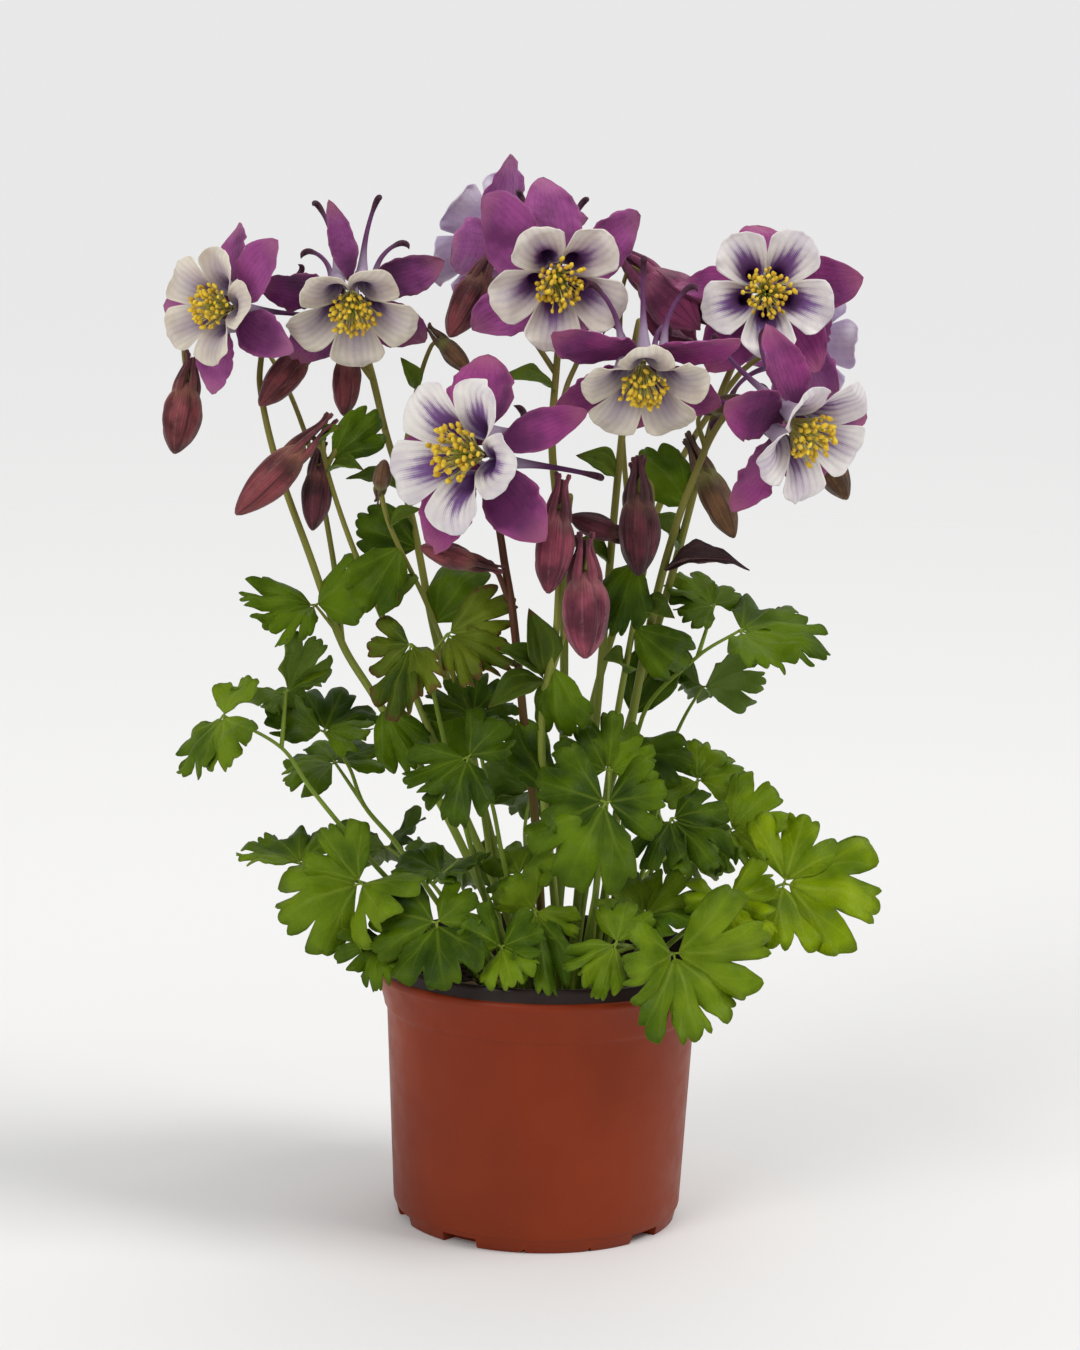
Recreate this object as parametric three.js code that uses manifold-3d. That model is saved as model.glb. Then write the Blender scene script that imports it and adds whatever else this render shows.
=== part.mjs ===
// Columbine (Aquilegia) in its plastic nursery pot: nine open blooms, a dozen leafy
// stems with hanging buds, and a rosette of lobed leaves, rooted in dark potting soil.
//
// Millimetres, +Z up. The origin is the middle of the pot's flat underside, the plant's
// fuller side faces -Y, and +X is to the right of it.

import * as THREE from 'three';
import { mergeVertices } from 'three/addons/utils/BufferGeometryUtils.js';
import Module from 'manifold-3d';

const wasm = await Module();
wasm.setup();

// ---------------------------------------------------------------- driving dimensions

const POT = {
  height: 103.8,
  lipRadius: 63.9,
  rimHeight: 98.3,
  rimRadius: 65,
  creaseRadius: 59.7,
  creaseHeight: 82.4,
  footLineRadius: 55.4,
  footLineHeight: 5.6,
  footRadius: 53.7,
  wall: 1.7,
  floor: 2.4,
  raisedFloor: 6.2,
  facets: 24,
};

const FOOT = {
  notchAngle: 16,
  notchHeight: 3.8,
  notchInner: 47,
  endSlope: 0.75,
  longFoot: 9,
  longFootSpan: 66,
  drainRadius: 2.6,
  drainAt: 49.4,
};

const SOIL = { top: 85, bump: 1.2, gap: 0.4, plantedTo: 76, holeGap: 0.45, neck: 4 };

const BLADE = 0.7;          // thickness of every leaf, sepal and petal
const LEAF_STALK = 1.35;    // radius of a leaf's stalk where it leaves the soil
const STEM = 1.75;          // the same of a flowering stem
const SEAT_GAP = 0.35;      // clearance where one piece sits against the next

// A bloom's pieces, at size 1. Places are [out from the axis, to the side, up the axis].
const SEPAL = {
  claw: [7, 1.3, 0],
  shoulder: [15, 9.3, 1.8],
  rib: [20, 0, 0],
  end: [26, 7.3, 1.8],
  tip: [37, 0, 0.9],
  notch: 3,
};
const PETAL = {
  foot: [9, 5.3, 7.4],
  widest: [17, 9.3, 14.5],
  lip: [25, 4.6, 15.1],
  rib: [17, 0, 12.4],
  throat: [8.5, 0, 5.2],
  notch: [4.4, 0, 1.9],
  middle: 1.1,
};
// The spur's own line, from behind the throat to the curled knob: [out, up, thickness].
const SPUR = [[7.7, 1.5, 2.1], [9, -14, 1.2], [14.5, -28, 0.7], [21.5, -36, 1]];
// The brush: rings of its core as [radius, height], then the stamens drawn out of it.
const STAMENS = {
  sides: 5,
  core: [[0.8, 2], [2.3, 5.5], [1.7, 8]],
  length: 17,
  anther: 1,
  outerLean: 34,
  innerLean: 12,
  swell: [[0.84, 1]],
};

// A bud's rings as [share of its length, share of its radius], and its spurs' far ends.
const BUD = { rings: [[0, 0.3], [0.25, 0.95], [0.65, 0.85], [1, 0.1]], spur: [-0.42, 0.72] };

const DEG = Math.PI / 180;

// ------------------------------------------------------------------------ materials

const material = (color, roughness) =>
  new THREE.MeshStandardMaterial({ color, roughness, metalness: 0 });

const FINISH = {
  pot: material(0x8a3c24, 0.45),
  soil: material(0x241a14, 0.95),
  leaf: material(0x3f6f1f, 0.6),
  stem: material(0x6f8436, 0.55),
  sepal: material(0x84377f, 0.55),
  petal: material(0xd9d3cf, 0.55),
  stamen: material(0xe6b820, 0.6),
};

// ------------------------------------------------------------------- solid modelling

const vec = (p) => new THREE.Vector3(...p);

// A seeded generator, so that every build draws the same small variations.
function seeded(seed) {
  let state = seed;
  return () => {
    state = (state * 1664525 + 1013904223) % 4294967296;
    return state / 4294967296;
  };
}

function solid(points, triangles) {
  const vertProperties = new Float32Array(points.flatMap((p) => [p.x, p.y, p.z]));
  const triVerts = new Uint32Array(triangles.flat());
  return new wasm.Manifold(new wasm.Mesh({ numProp: 3, vertProperties, triVerts }));
}

function solidFromGeometry(geometry) {
  const bare = geometry.clone();
  bare.deleteAttribute('normal');
  bare.deleteAttribute('uv');
  const merged = mergeVertices(bare, 1e-4);
  return new wasm.Manifold(new wasm.Mesh({
    numProp: 3,
    vertProperties: new Float32Array(merged.attributes.position.array),
    triVerts: new Uint32Array(merged.index.array),
  }));
}

const join = (solids) => solids.reduce((whole, piece) => whole.add(piece));

function node(name, shape, finish) {
  const { vertProperties, triVerts } = shape.getMesh();
  const geometry = new THREE.BufferGeometry();
  geometry.setAttribute('position', new THREE.BufferAttribute(new Float32Array(vertProperties), 3));
  geometry.setIndex(new THREE.BufferAttribute(new Uint32Array(triVerts), 1));
  geometry.computeVertexNormals();
  const mesh = new THREE.Mesh(geometry, finish);
  mesh.name = name;
  return mesh;
}

// A sheet of triangles given a thickness along its normals, split alike on both faces.
function thicken(points, normals, triangles, outline, thickness) {
  const count = points.length;
  const half = thickness / 2;
  const shifted = (step) => points.map((p, i) => p.clone().addScaledVector(normals[i], step));
  const backs = triangles.map(([a, b, c]) => [a + count, c + count, b + count]);
  const edges = outline.flatMap((a, i) => {
    const b = outline[(i + 1) % outline.length];
    return [[a, a + count, b + count], [a, b + count, b]];
  });
  return solid([...shifted(half), ...shifted(-half)], [...triangles, ...backs, ...edges]);
}

// A closed round bar through stations [point, radius], tapering between them.
function bar(stations, sides) {
  const points = stations.map((s) => s[0]);
  const tangents = points.map((p, i) => {
    const before = points[Math.max(i - 1, 0)];
    const after = points[Math.min(i + 1, points.length - 1)];
    return after.clone().sub(before).normalize();
  });
  let across = new THREE.Vector3(1, 0, 0);
  if (Math.abs(across.dot(tangents[0])) > 0.8) across = new THREE.Vector3(0, 1, 0);
  const ring = [];
  points.forEach((p, i) => {
    across.addScaledVector(tangents[i], -across.dot(tangents[i])).normalize();
    const other = tangents[i].clone().cross(across);
    for (let k = 0; k < sides; k += 1) {
      const turn = (2 * Math.PI * k) / sides;
      ring.push(p.clone()
        .addScaledVector(across, Math.cos(turn) * stations[i][1])
        .addScaledVector(other, Math.sin(turn) * stations[i][1]));
    }
  });
  const triangles = [];
  for (let i = 0; i + 1 < points.length; i += 1) {
    for (let k = 0; k < sides; k += 1) {
      const a = i * sides + k;
      const b = i * sides + ((k + 1) % sides);
      triangles.push([a, b, b + sides], [a, b + sides, a + sides]);
    }
  }
  const last = (points.length - 1) * sides;
  for (let k = 1; k + 1 < sides; k += 1) {
    triangles.push([0, k + 1, k], [last, last + k, last + k + 1]);
  }
  return solid(ring, triangles);
}

// A stalk through hand-set points, thinning evenly from r0 to r1.
function stalk(points, r0, r1, sides) {
  const last = points.length - 1;
  return bar(points.map((p, i) => [p, r0 + ((r1 - r0) * i) / last]), sides);
}

// A stalk that stands straight in its hole in the soil and then takes its own way.
function rooted([x, y], route, r0, r1, sides) {
  const foot = vec([x, y, SOIL.plantedTo]);
  const neck = vec([x, y, SOIL.top + SOIL.neck]);
  return stalk([foot, neck, ...route], r0, r1, sides);
}

// ------------------------------------------------------------------------------ pot

function latheSolid(profile, facets) {
  const points = profile.map(([r, z]) => new THREE.Vector2(r, z));
  const geometry = new THREE.LatheGeometry(points, facets);
  geometry.rotateX(Math.PI / 2);
  return solidFromGeometry(geometry);
}

// The wedge of space, with sloped ends, that lifts the wall's lower edge off the ground.
function footNotch(angle) {
  const half = FOOT.notchAngle / 2;
  const rows = [[-1, half + FOOT.endSlope], [FOOT.notchHeight, half - FOOT.endSlope]];
  const radii = [FOOT.notchInner, POT.footLineRadius + 3];
  const points = rows.flatMap(([z, h]) => radii.flatMap((r) => [-1, 1].map((side) => {
    const turn = (angle + side * h) * DEG;
    return new THREE.Vector3(Math.sin(turn) * r, -Math.cos(turn) * r, z);
  })));
  const quads = [[0, 2, 3, 1], [4, 5, 7, 6], [0, 1, 5, 4], [1, 3, 7, 5], [3, 2, 6, 7], [2, 0, 4, 6]];
  return solid(points, quads.flatMap(([a, b, c, d]) => [[a, c, b], [a, d, c]]));
}

function drainHole(angle) {
  const hole = new THREE.CylinderGeometry(FOOT.drainRadius, FOOT.drainRadius, 8, 6);
  hole.rotateX(Math.PI / 2);
  hole.translate(Math.sin(angle * DEG) * FOOT.drainAt, -Math.cos(angle * DEG) * FOOT.drainAt, 4);
  return solidFromGeometry(hole);
}

function potSolid() {
  const { height, lipRadius, rimHeight, rimRadius, creaseRadius, creaseHeight, wall } = POT;
  const outside = [
    [0, 0],
    [POT.footRadius, 0],
    [POT.footLineRadius - 0.7, POT.footLineHeight - 0.4],
    [POT.footLineRadius, POT.footLineHeight],
    [creaseRadius - 0.5, creaseHeight - 0.8],
    [creaseRadius + 0.2, creaseHeight],
    [creaseRadius + 1.5, creaseHeight + 5],
    [rimRadius, rimHeight - 2.6],
    [rimRadius - 0.5, rimHeight],
    [lipRadius, rimHeight + 0.2],
    [lipRadius - 0.4, height],
  ];
  const inside = [
    [lipRadius - 2, height],
    [creaseRadius - 0.5 - wall, creaseHeight - 0.8],
    [POT.footLineRadius - wall, POT.raisedFloor],
    [FOOT.notchInner - 2, POT.raisedFloor],
    [FOOT.notchInner - 4, POT.floor],
    [0, POT.floor],
  ];
  let pot = latheSolid([...outside, ...inside], POT.facets);
  const spread = (FOOT.longFootSpan + FOOT.notchAngle) / 2;
  for (let third = 0; third < 3; third += 1) {
    for (const side of [-1, 1]) {
      const angle = FOOT.longFoot + 120 * third + side * spread;
      pot = pot.subtract(footNotch(angle)).subtract(drainHole(angle));
    }
  }
  return pot;
}

// ----------------------------------------------------------------------------- soil

// Radius of the pot's inner wall at a height above its floor.
function innerRadius(z) {
  const low = [POT.raisedFloor, POT.footLineRadius - POT.wall];
  const high = [POT.creaseHeight - 0.8, POT.creaseRadius - 0.5 - POT.wall];
  return low[1] + ((high[1] - low[1]) * (z - low[0])) / (high[0] - low[0]);
}

function soilSolid(roots) {
  const { top, gap, bump } = SOIL;
  const rim = innerRadius(top - 3) - gap;
  const profile = [
    [0, POT.floor + gap],
    [FOOT.notchInner - 4.6, POT.floor + gap],
    [FOOT.notchInner - 2.6, POT.raisedFloor + gap],
    [POT.footLineRadius - POT.wall - gap, POT.raisedFloor + gap],
    [rim, top - 3],
    [rim - 3, top - 1],
    [40, top],
    [0, top + 1],
  ];
  const geometry = new THREE.LatheGeometry(profile.map(([r, z]) => new THREE.Vector2(r, z)), POT.facets);
  geometry.rotateX(Math.PI / 2);
  const place = geometry.attributes.position;
  for (let i = 0; i < place.count; i += 1) {
    const [x, y, z] = [place.getX(i), place.getY(i), place.getZ(i)];
    const lumps = Math.sin(0.31 * x + 1) * Math.cos(0.27 * y) + 0.5 * Math.sin(0.5 * y - 0.4 * x);
    if (z > top - 2) place.setZ(i, z + bump * lumps);
  }
  const holes = roots.map(({ x, y, radius }) => {
    const hole = new THREE.CylinderGeometry(radius, radius, 24, 4);
    hole.rotateX(Math.PI / 2);
    hole.translate(x, y, SOIL.plantedTo - SOIL.holeGap + 12);
    return solidFromGeometry(hole);
  });
  return solidFromGeometry(geometry).subtract(join(holes));
}

// --------------------------------------------------------------------------- leaves

// Half of a leaflet's lobed edge, from its stalk to the middle lobe: along, across.
const LEAFLET_EDGE = [[0.6, 0.5], [0.73, 0.21], [0.97, 0.21]];

// One ternate blade: three lobed leaflets that meet at a point, reaching to three tips.
function trio(at, tips, facing = [0, -0.35, 1]) {
  const centre = vec(at);
  let spokes = tips.map((tip) => vec(tip).sub(centre));
  const units = spokes.map((s) => s.clone().normalize());
  const normal = new THREE.Vector3();
  units.forEach((u, k) => normal.add(u.clone().cross(units[(k + 1) % 3])));
  if (normal.dot(vec(facing)) < 0) {
    normal.negate();
    spokes = [spokes[0], spokes[2], spokes[1]];
  }
  normal.normalize();
  const along = spokes.map((s) => s.clone().normalize());
  const between = along.map((u, k) => {
    const next = along[(k + 1) % 3];
    const turn = Math.atan2(u.clone().cross(next).dot(normal), u.dot(next));
    return turn < 0 ? turn + 2 * Math.PI : turn;
  });
  const points = [centre.clone()];
  const normals = [normal.clone()];
  const triangles = [];
  const outline = [];
  const notches = along.map((u, k) => {
    const side = u.clone().add(along[(k + 1) % 3]).normalize();
    if (between[k] > 2.4) side.copy(normal).cross(u).normalize();
    points.push(centre.clone().addScaledVector(side, 1.7));
    normals.push(normal.clone());
    return points.length - 1;
  });
  spokes.forEach((spoke, k) => {
    const reach = spoke.length();
    const across = normal.clone().cross(along[k]).normalize();
    const up = along[k].clone().cross(across).normalize();
    const room = Math.min(between[k], between[(k + 2) % 3]);
    const width = Math.min(1, (0.66 * Math.tan(0.45 * Math.min(room, 1.4))) / 0.47);
    const spot = (x, y) => {
      const lift = reach * (0.22 * x * (1 - x) - 0.25 * y * y);
      points.push(centre.clone().addScaledVector(along[k], x * reach)
        .addScaledVector(across, y * width * reach).addScaledVector(up, lift));
      normals.push(up);
      return points.length - 1;
    };
    const middle = spot(0.45, 0);
    const edge = [...LEAFLET_EDGE.map(([x, y]) => spot(x, -y)),
      ...[...LEAFLET_EDGE].reverse().map(([x, y]) => spot(x, y))];
    const ring = [notches[(k + 2) % 3], ...edge, notches[k]];
    for (let i = 0; i + 1 < ring.length; i += 1) triangles.push([middle, ring[i], ring[i + 1]]);
    triangles.push([0, ring[0], middle], [0, middle, ring[ring.length - 1]]);
    outline.push(...ring.slice(0, -1));
  });
  return thicken(points, normals, triangles, outline, BLADE);
}

// One simple blade from its foot to its tip: half its edge as [along, share of its width].
function simpleBlade(foot, tip, facing, width, half) {
  const start = vec(foot);
  const spoke = vec(tip).sub(start);
  const reach = spoke.length();
  const along = spoke.clone().normalize();
  const across = vec(facing).cross(along).normalize();
  const up = along.clone().cross(across);
  const spot = ([x, y]) => start.clone().addScaledVector(along, x * reach)
    .addScaledVector(across, y * reach).addScaledVector(up, 0.5 * reach * x * (1 - x));
  const side = (turn) => half.map(([x, y]) => [x, turn * y * width]);
  const edge = [[0, 0.02], [0, -0.02], ...side(-1), [1, 0], ...side(1).reverse()];
  const points = [...edge, [0.45, 0]].map(spot);
  const outline = edge.map((_, i) => i);
  const triangles = outline.map((i) => [edge.length, i, (i + 1) % edge.length]);
  return thicken(points, points.map(() => up), triangles, outline, BLADE);
}

// A pointed oval bract, and a broad round stem leaf.
const bract = (foot, tip, facing, width = 0.22) => simpleBlade(foot, tip, facing, width, [[0.42, 1]]);
const broadBlade = (foot, tip, facing, width) =>
  simpleBlade(foot, tip, facing, width, [[0.4, 1], [0.82, 0.7]]);

// A leaf: a stalk planted in the soil that forks to one or more trios of leaflets.
function leafSolid({ root, route, trios }) {
  const [first, ...others] = trios.map(({ at, via = [] }) => [...via, at].map(vec));
  const main = [...route.map(vec), ...first];
  const fork = vec(route[route.length - 1]);
  const pieces = [rooted(root, main, LEAF_STALK, 0.45, 3)];
  pieces.push(...others.map((line) => stalk([fork, ...line], 0.9, 0.45, 3)));
  pieces.push(...trios.map(({ at, tips, facing }) => trio(at, tips, facing)));
  return join(pieces);
}

const LEAVES = {
  leaf_front_right: {
    root: [15, -21],
    route: [[24, -34, 108], [34, -44, 116]],
    trios: [
      {
        at: [48, -61, 118],
        tips: [[58, -76, 88], [82, -66, 124], [33, -84, 116]],
        facing: [0, -1, 0.8],
      },
      { at: [38, -43, 127], tips: [[24, -40, 140], [52, -34, 144], [54, -56, 131]] },
      { at: [27, -60, 121], tips: [[8, -68, 113], [20, -76, 104], [31, -52, 136]], facing: [0, -1, 1] },
    ],
  },
  leaf_front: {
    root: [2, -21],
    route: [[1, -32, 110], [-4, -42, 118]],
    trios: [
      {
        at: [-15, -57, 118],
        tips: [[-30, -62, 128], [-10, -74, 108], [0, -64, 126]],
        facing: [0, -1, 1],
      },
      {
        at: [-3, -44, 129],
        tips: [[14, -52, 122], [3, -68, 104], [-12, -48, 142]],
        facing: [0, -1, 1],
      },
    ],
  },
  leaf_front_left: {
    root: [-13, -19],
    route: [[-26, -30, 106], [-38, -38, 116]],
    trios: [
      {
        at: [-39, -55, 126],
        tips: [[-64, -50, 130], [-35, -74, 106], [-25, -54, 137]],
        facing: [0, -1, 1],
      },
      {
        at: [-58, -44, 117],
        tips: [[-77, -46, 110], [-62, -58, 100], [-50, -60, 112]],
        facing: [-0.5, -1, 1],
      },
    ],
  },
  leaf_left: {
    root: [-21, -9],
    route: [[-40, -18, 112], [-62, -26, 132]],
    trios: [
      {
        at: [-68, -36, 136],
        tips: [[-84, -34, 156], [-98, -42, 124], [-58, -60, 128]],
        facing: [0, -1, 1],
      },
      { at: [-92, -14, 138], tips: [[-117, -18, 142], [-108, 8, 145], [-84, 8, 148]] },
    ],
  },
  leaf_far_left: {
    root: [-20, 0],
    route: [[-40, -10, 112], [-66, -24, 143], [-88, -28, 170], [-99, -28, 185]],
    trios: [
      {
        at: [-120, -36, 198],
        tips: [[-137, -38, 177], [-112, -26, 211], [-116, -56, 184]],
        facing: [-1, -0.6, 0.6],
      },
      {
        at: [-98, -22, 205],
        tips: [[-86, -18, 226], [-116, -14, 200], [-90, 0, 204]],
        facing: [-0.6, -0.4, 1],
      },
    ],
  },
  leaf_left_middle: {
    root: [-18, 8],
    route: [[-36, 10, 112], [-58, 12, 142], [-70, 12, 156]],
    trios: [
      {
        at: [-85, -2, 187],
        via: [[-76, 8, 172]],
        tips: [[-108, -6, 195], [-78, 14, 203], [-66, -8, 188]],
      },
      { at: [-82, 20, 171], tips: [[-101, 12, 166], [-92, 40, 178], [-64, 30, 176]] },
    ],
  },
  leaf_crown_left: {
    root: [-17, -14],
    route: [[-24, -20, 112], [-30, -25, 126]],
    trios: [
      { at: [-38, -31, 139], tips: [[-55, -20, 144], [-46, -46, 142], [-24, -40, 149]] },
    ],
  },
  leaf_crown: {
    root: [8, -22],
    route: [[4, -27, 112], [-4, -31, 128]],
    trios: [
      { at: [-9, -33, 140], tips: [[5, -37, 148], [-14, -18, 149], [-20, -38, 132]] },
    ],
  },
  leaf_centre_left: {
    root: [-7, -18],
    route: [[-10, -26, 120], [-16, -32, 148], [-21, -34, 170]],
    trios: [
      {
        at: [-29, -44, 186],
        tips: [[-54, -48, 178], [-16, -42, 200], [-34, -64, 166]],
        facing: [0, -1, 1.2],
      },
      {
        at: [-28, -24, 198],
        tips: [[-45, -19, 207], [-26, -12, 214], [-12, -30, 196]],
        facing: [0, -1, 1],
      },
    ],
  },
  leaf_centre: {
    root: [14, -13],
    route: [[17, -30, 118], [20, -42, 142], [22, -44, 160]],
    trios: [
      { at: [22, -52, 172], tips: [[-3, -56, 180], [8, -70, 146], [43, -58, 177]], facing: [0, -1, 1] },
      { at: [23, -38, 181], tips: [[24, -32, 202], [3, -36, 190], [41, -34, 188]], facing: [0, -1, 1] },
    ],
  },
  leaf_right: {
    root: [27, -9],
    route: [[44, -20, 108], [60, -28, 124]],
    trios: [
      {
        at: [90, -28, 138],
        via: [[74, -28, 131]],
        tips: [[126, -36, 133], [98, -16, 162], [84, -50, 118]],
        facing: [0, -1, 1],
      },
      { at: [68, -42, 134], tips: [[86, -46, 142], [52, -48, 136], [72, -62, 124]] },
    ],
  },
  leaf_right_middle: {
    root: [27, 1],
    route: [[42, 0, 112], [54, -2, 138]],
    trios: [
      { at: [70, -10, 154], tips: [[88, -6, 170], [81, -27, 149], [66, -30, 144]] },
      { at: [58, 6, 170], tips: [[77, 8, 174], [58, 20, 184], [44, -4, 164]] },
    ],
  },
  leaf_right_front: {
    root: [21, -14],
    route: [[30, -20, 112], [40, -26, 140]],
    trios: [
      {
        at: [47, -29, 162],
        tips: [[68, -24, 166], [64, -48, 147], [38, -48, 146]],
        facing: [0, -1, 1],
      },
    ],
  },
  leaf_upper_left: {
    root: [-12, -10],
    route: [[-20, -20, 120], [-32, -29, 165], [-42, -31, 205], [-44, -32, 220]],
    trios: [
      {
        at: [-38, -34, 230],
        tips: [[-14, -34, 244], [-12, -46, 222], [-28, -54, 215]],
        facing: [0, -1, 1],
      },
      {
        at: [-51, -34, 226],
        tips: [[-68, -28, 224], [-59, -50, 200], [-42, -54, 212]],
        facing: [0, -1, 1],
      },
    ],
  },
  leaf_upper_right: {
    root: [23, 7],
    route: [[28, 6, 130], [36, 2, 195], [56, -6, 220]],
    trios: [
      { at: [71, -12, 231], tips: [[108, -18, 225], [84, -38, 219], [90, 10, 238]] },
      { at: [62, 4, 238], tips: [[48, -6, 236], [46, 14, 248], [68, 22, 246]] },
    ],
  },
  leaf_right_back: {
    root: [19, 13],
    route: [[38, 18, 130], [46, 28, 172], [52, 23, 190]],
    trios: [
      { at: [59, 15, 205], tips: [[83, 17, 209], [46, 30, 216], [54, 40, 200]] },
    ],
  },
  leaf_back_right: {
    root: [12, 18],
    route: [[26, 34, 108], [38, 44, 122]],
    trios: [
      { at: [52, 50, 134], tips: [[78, 48, 136], [62, 70, 122], [42, 66, 144]], facing: [0.3, 0.5, 1] },
      { at: [30, 60, 128], tips: [[44, 74, 110], [22, 84, 116], [12, 56, 136]], facing: [0, 0.6, 1] },
    ],
  },
  leaf_back: {
    root: [-2, 19],
    route: [[-4, 32, 114], [-8, 42, 140]],
    trios: [
      { at: [-6, 52, 156], tips: [[14, 58, 160], [-8, 76, 142], [-26, 56, 164]], facing: [0, 0.6, 1] },
    ],
  },
  leaf_back_left: {
    root: [-14, 15],
    route: [[-34, 30, 108], [-44, 38, 120]],
    trios: [
      {
        at: [-62, 40, 134],
        tips: [[-88, 38, 140], [-72, 62, 124], [-50, 56, 142]],
        facing: [-0.3, 0.5, 1],
      },
      {
        at: [-34, 58, 126],
        tips: [[-16, 64, 128], [-36, 82, 108], [-54, 76, 122]],
        facing: [0, 0.6, 1],
      },
    ],
  },
};

// --------------------------------------------------------------------------- blooms

// Each open bloom: the middle of its sepals, the way it looks, its size and its turn. Its
// sepals may each have a swing, in mm to the side at the tip, and a fold, in degrees forward.
const BLOOMS = {
  bloom_left: {
    centre: [-121, -14, 347],
    looks: [-0.62, -0.77, 0.1],
    size: 0.88,
    turn: 1,
    sepals: [[8, 6], [-6, -12], [0, 10], [4, 4], [6, -4]],
  },
  bloom_upper_left: {
    centre: [-76, -16, 354],
    looks: [0.05, -0.8, -0.6],
    size: 0.96,
    turn: 62,
    sepals: [[4, -38], [12, -16], [-6, 20], [4, 4], [-4, -6]],
  },
  bloom_middle: {
    centre: [-26, -60, 299],
    looks: [-0.62, -0.77, 0.1],
    size: 1.14,
    turn: 61,
    sepals: [[9, -26], [12, 0], [0, 4], [4, 2], [4, -38]],
  },
  bloom_top: {
    centre: [-1, -18, 363],
    looks: [0.12, -0.94, -0.3],
    size: 1.02,
    turn: 49,
    sepals: [[6, -40], [-10, -26], [-6, -4], [0, -30], [10, -20]],
  },
  bloom_top_back: {
    centre: [-20, 57, 369],
    looks: [-0.75, 0.55, 0.32],
    size: 1.08,
    turn: 38,
    sepals: [[-2, 8], [8, -6], [-4, 8], [0, 12], [0, 0]],
  },
  bloom_centre: {
    centre: [31, -50, 332],
    looks: [0.03, -0.72, -0.69],
    size: 0.95,
    turn: 90,
    sepals: [[16, 10], [8, 14], [0, 2], [-12, 4], [-16, 12]],
  },
  bloom_right: {
    centre: [77, 0, 357],
    looks: [0.02, -0.99, 0.06],
    size: 0.99,
    turn: 56,
    sepals: [[0, -46], [6, -30], [0, -10], [0, -6], [-7, 2]],
  },
  bloom_lower_right: {
    centre: [85, -40, 312],
    looks: [0.6, -0.68, -0.4],
    size: 1.02,
    turn: 58,
    sepals: [[16, -14], [0, 4], [10, 0], [0, 8], [-15, 4]],
  },
  bloom_right_back: {
    centre: [91, 58, 335],
    looks: [0.8, 0.58, 0.05],
    size: 0.96,
    turn: 36,
    sepals: [[0, 4], [4, -8], [0, 2], [-4, 6], [0, -4]],
  },
};

// A bloom's own axes: right and up across its face, and out along the way it looks.
function bloomAxes({ looks }) {
  const out = vec(looks).normalize();
  const right = new THREE.Vector3(0, 0, 1).cross(out).normalize();
  return { right, up: out.clone().cross(right), out };
}

// Turns a bloom's polar places (radius, side step, height, angle) into points.
function bloomPlace(bloom) {
  const { right, up, out } = bloomAxes(bloom);
  return (radius, side, height, angle) => {
    const [c, s] = [Math.cos(angle * DEG), Math.sin(angle * DEG)];
    return vec(bloom.centre)
      .addScaledVector(right, bloom.size * (radius * c - side * s))
      .addScaledVector(up, bloom.size * (radius * s + side * c))
      .addScaledVector(out, bloom.size * height);
  };
}

// Five sepals that hold together at the middle, each with its own swing and fold.
function sepalStar(bloom) {
  const place = bloomPlace(bloom);
  const middle = place(0, 0, 0, 0);
  const points = [];
  const normals = [];
  const spot = (normal, ...polar) => {
    normals.push(normal);
    return points.push(place(...polar)) - 1;
  };
  const { out } = bloomAxes(bloom);
  spot(out, 0, 0, 0, 0);
  const notches = bloom.sepals.map((_, k) => spot(out, SEPAL.notch, 0, 0, bloom.turn + 72 * (k + 1)));
  const triangles = [];
  const outline = [];
  bloom.sepals.forEach(([swing, fold], k) => {
    const angle = bloom.turn + 36 + 72 * k;
    const [c, s] = [Math.cos(fold * DEG), Math.sin(fold * DEG)];
    const normal = place(-s, 0, c, angle).sub(middle).normalize();
    const [hinge] = SEPAL.claw;
    const folded = ([along, across, cup], side) => {
      const free = along - hinge;
      const bend = (swing * free) / (SEPAL.tip[0] - hinge);
      return spot(free > 0 ? normal : out, hinge + free * c, side * across + bend, free * s + cup, angle);
    };
    const [right, left] = [-1, 1].map((side) => ({
      claw: folded(SEPAL.claw, side),
      shoulder: folded(SEPAL.shoulder, side),
      end: folded(SEPAL.end, side),
    }));
    const rib = folded(SEPAL.rib, 0);
    const tip = folded(SEPAL.tip, 0);
    const edge = [right.claw, right.shoulder, right.end, tip, left.end, left.shoulder, left.claw];
    const [q0, q1] = [notches[(k + 4) % 5], notches[k]];
    triangles.push([0, q0, right.claw], [0, right.claw, left.claw], [0, left.claw, q1]);
    edge.forEach((from, i) => triangles.push([rib, from, edge[(i + 1) % edge.length]]));
    outline.push(q0, ...edge);
  });
  return thicken(points, normals, triangles, outline, BLADE);
}

// The rings of one nectar spur, from its mouth behind the petal's throat to the curled
// knob: each ring is inner, right, outer and left about the spur's own line.
function spurRings(place, angle) {
  return SPUR.map(([r, w, thick], i) => {
    const before = SPUR[Math.max(i - 1, 0)];
    const after = SPUR[Math.min(i + 1, SPUR.length - 1)];
    const [dr, dw] = [after[0] - before[0], after[1] - before[1]];
    const step = thick / Math.hypot(dr, dw);
    return [
      place(r + dw * step, 0, w - dr * step, angle),
      place(r, -thick, w, angle),
      place(r - dw * step, 0, w + dr * step, angle),
      place(r, thick, w, angle),
    ];
  });
}

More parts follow.
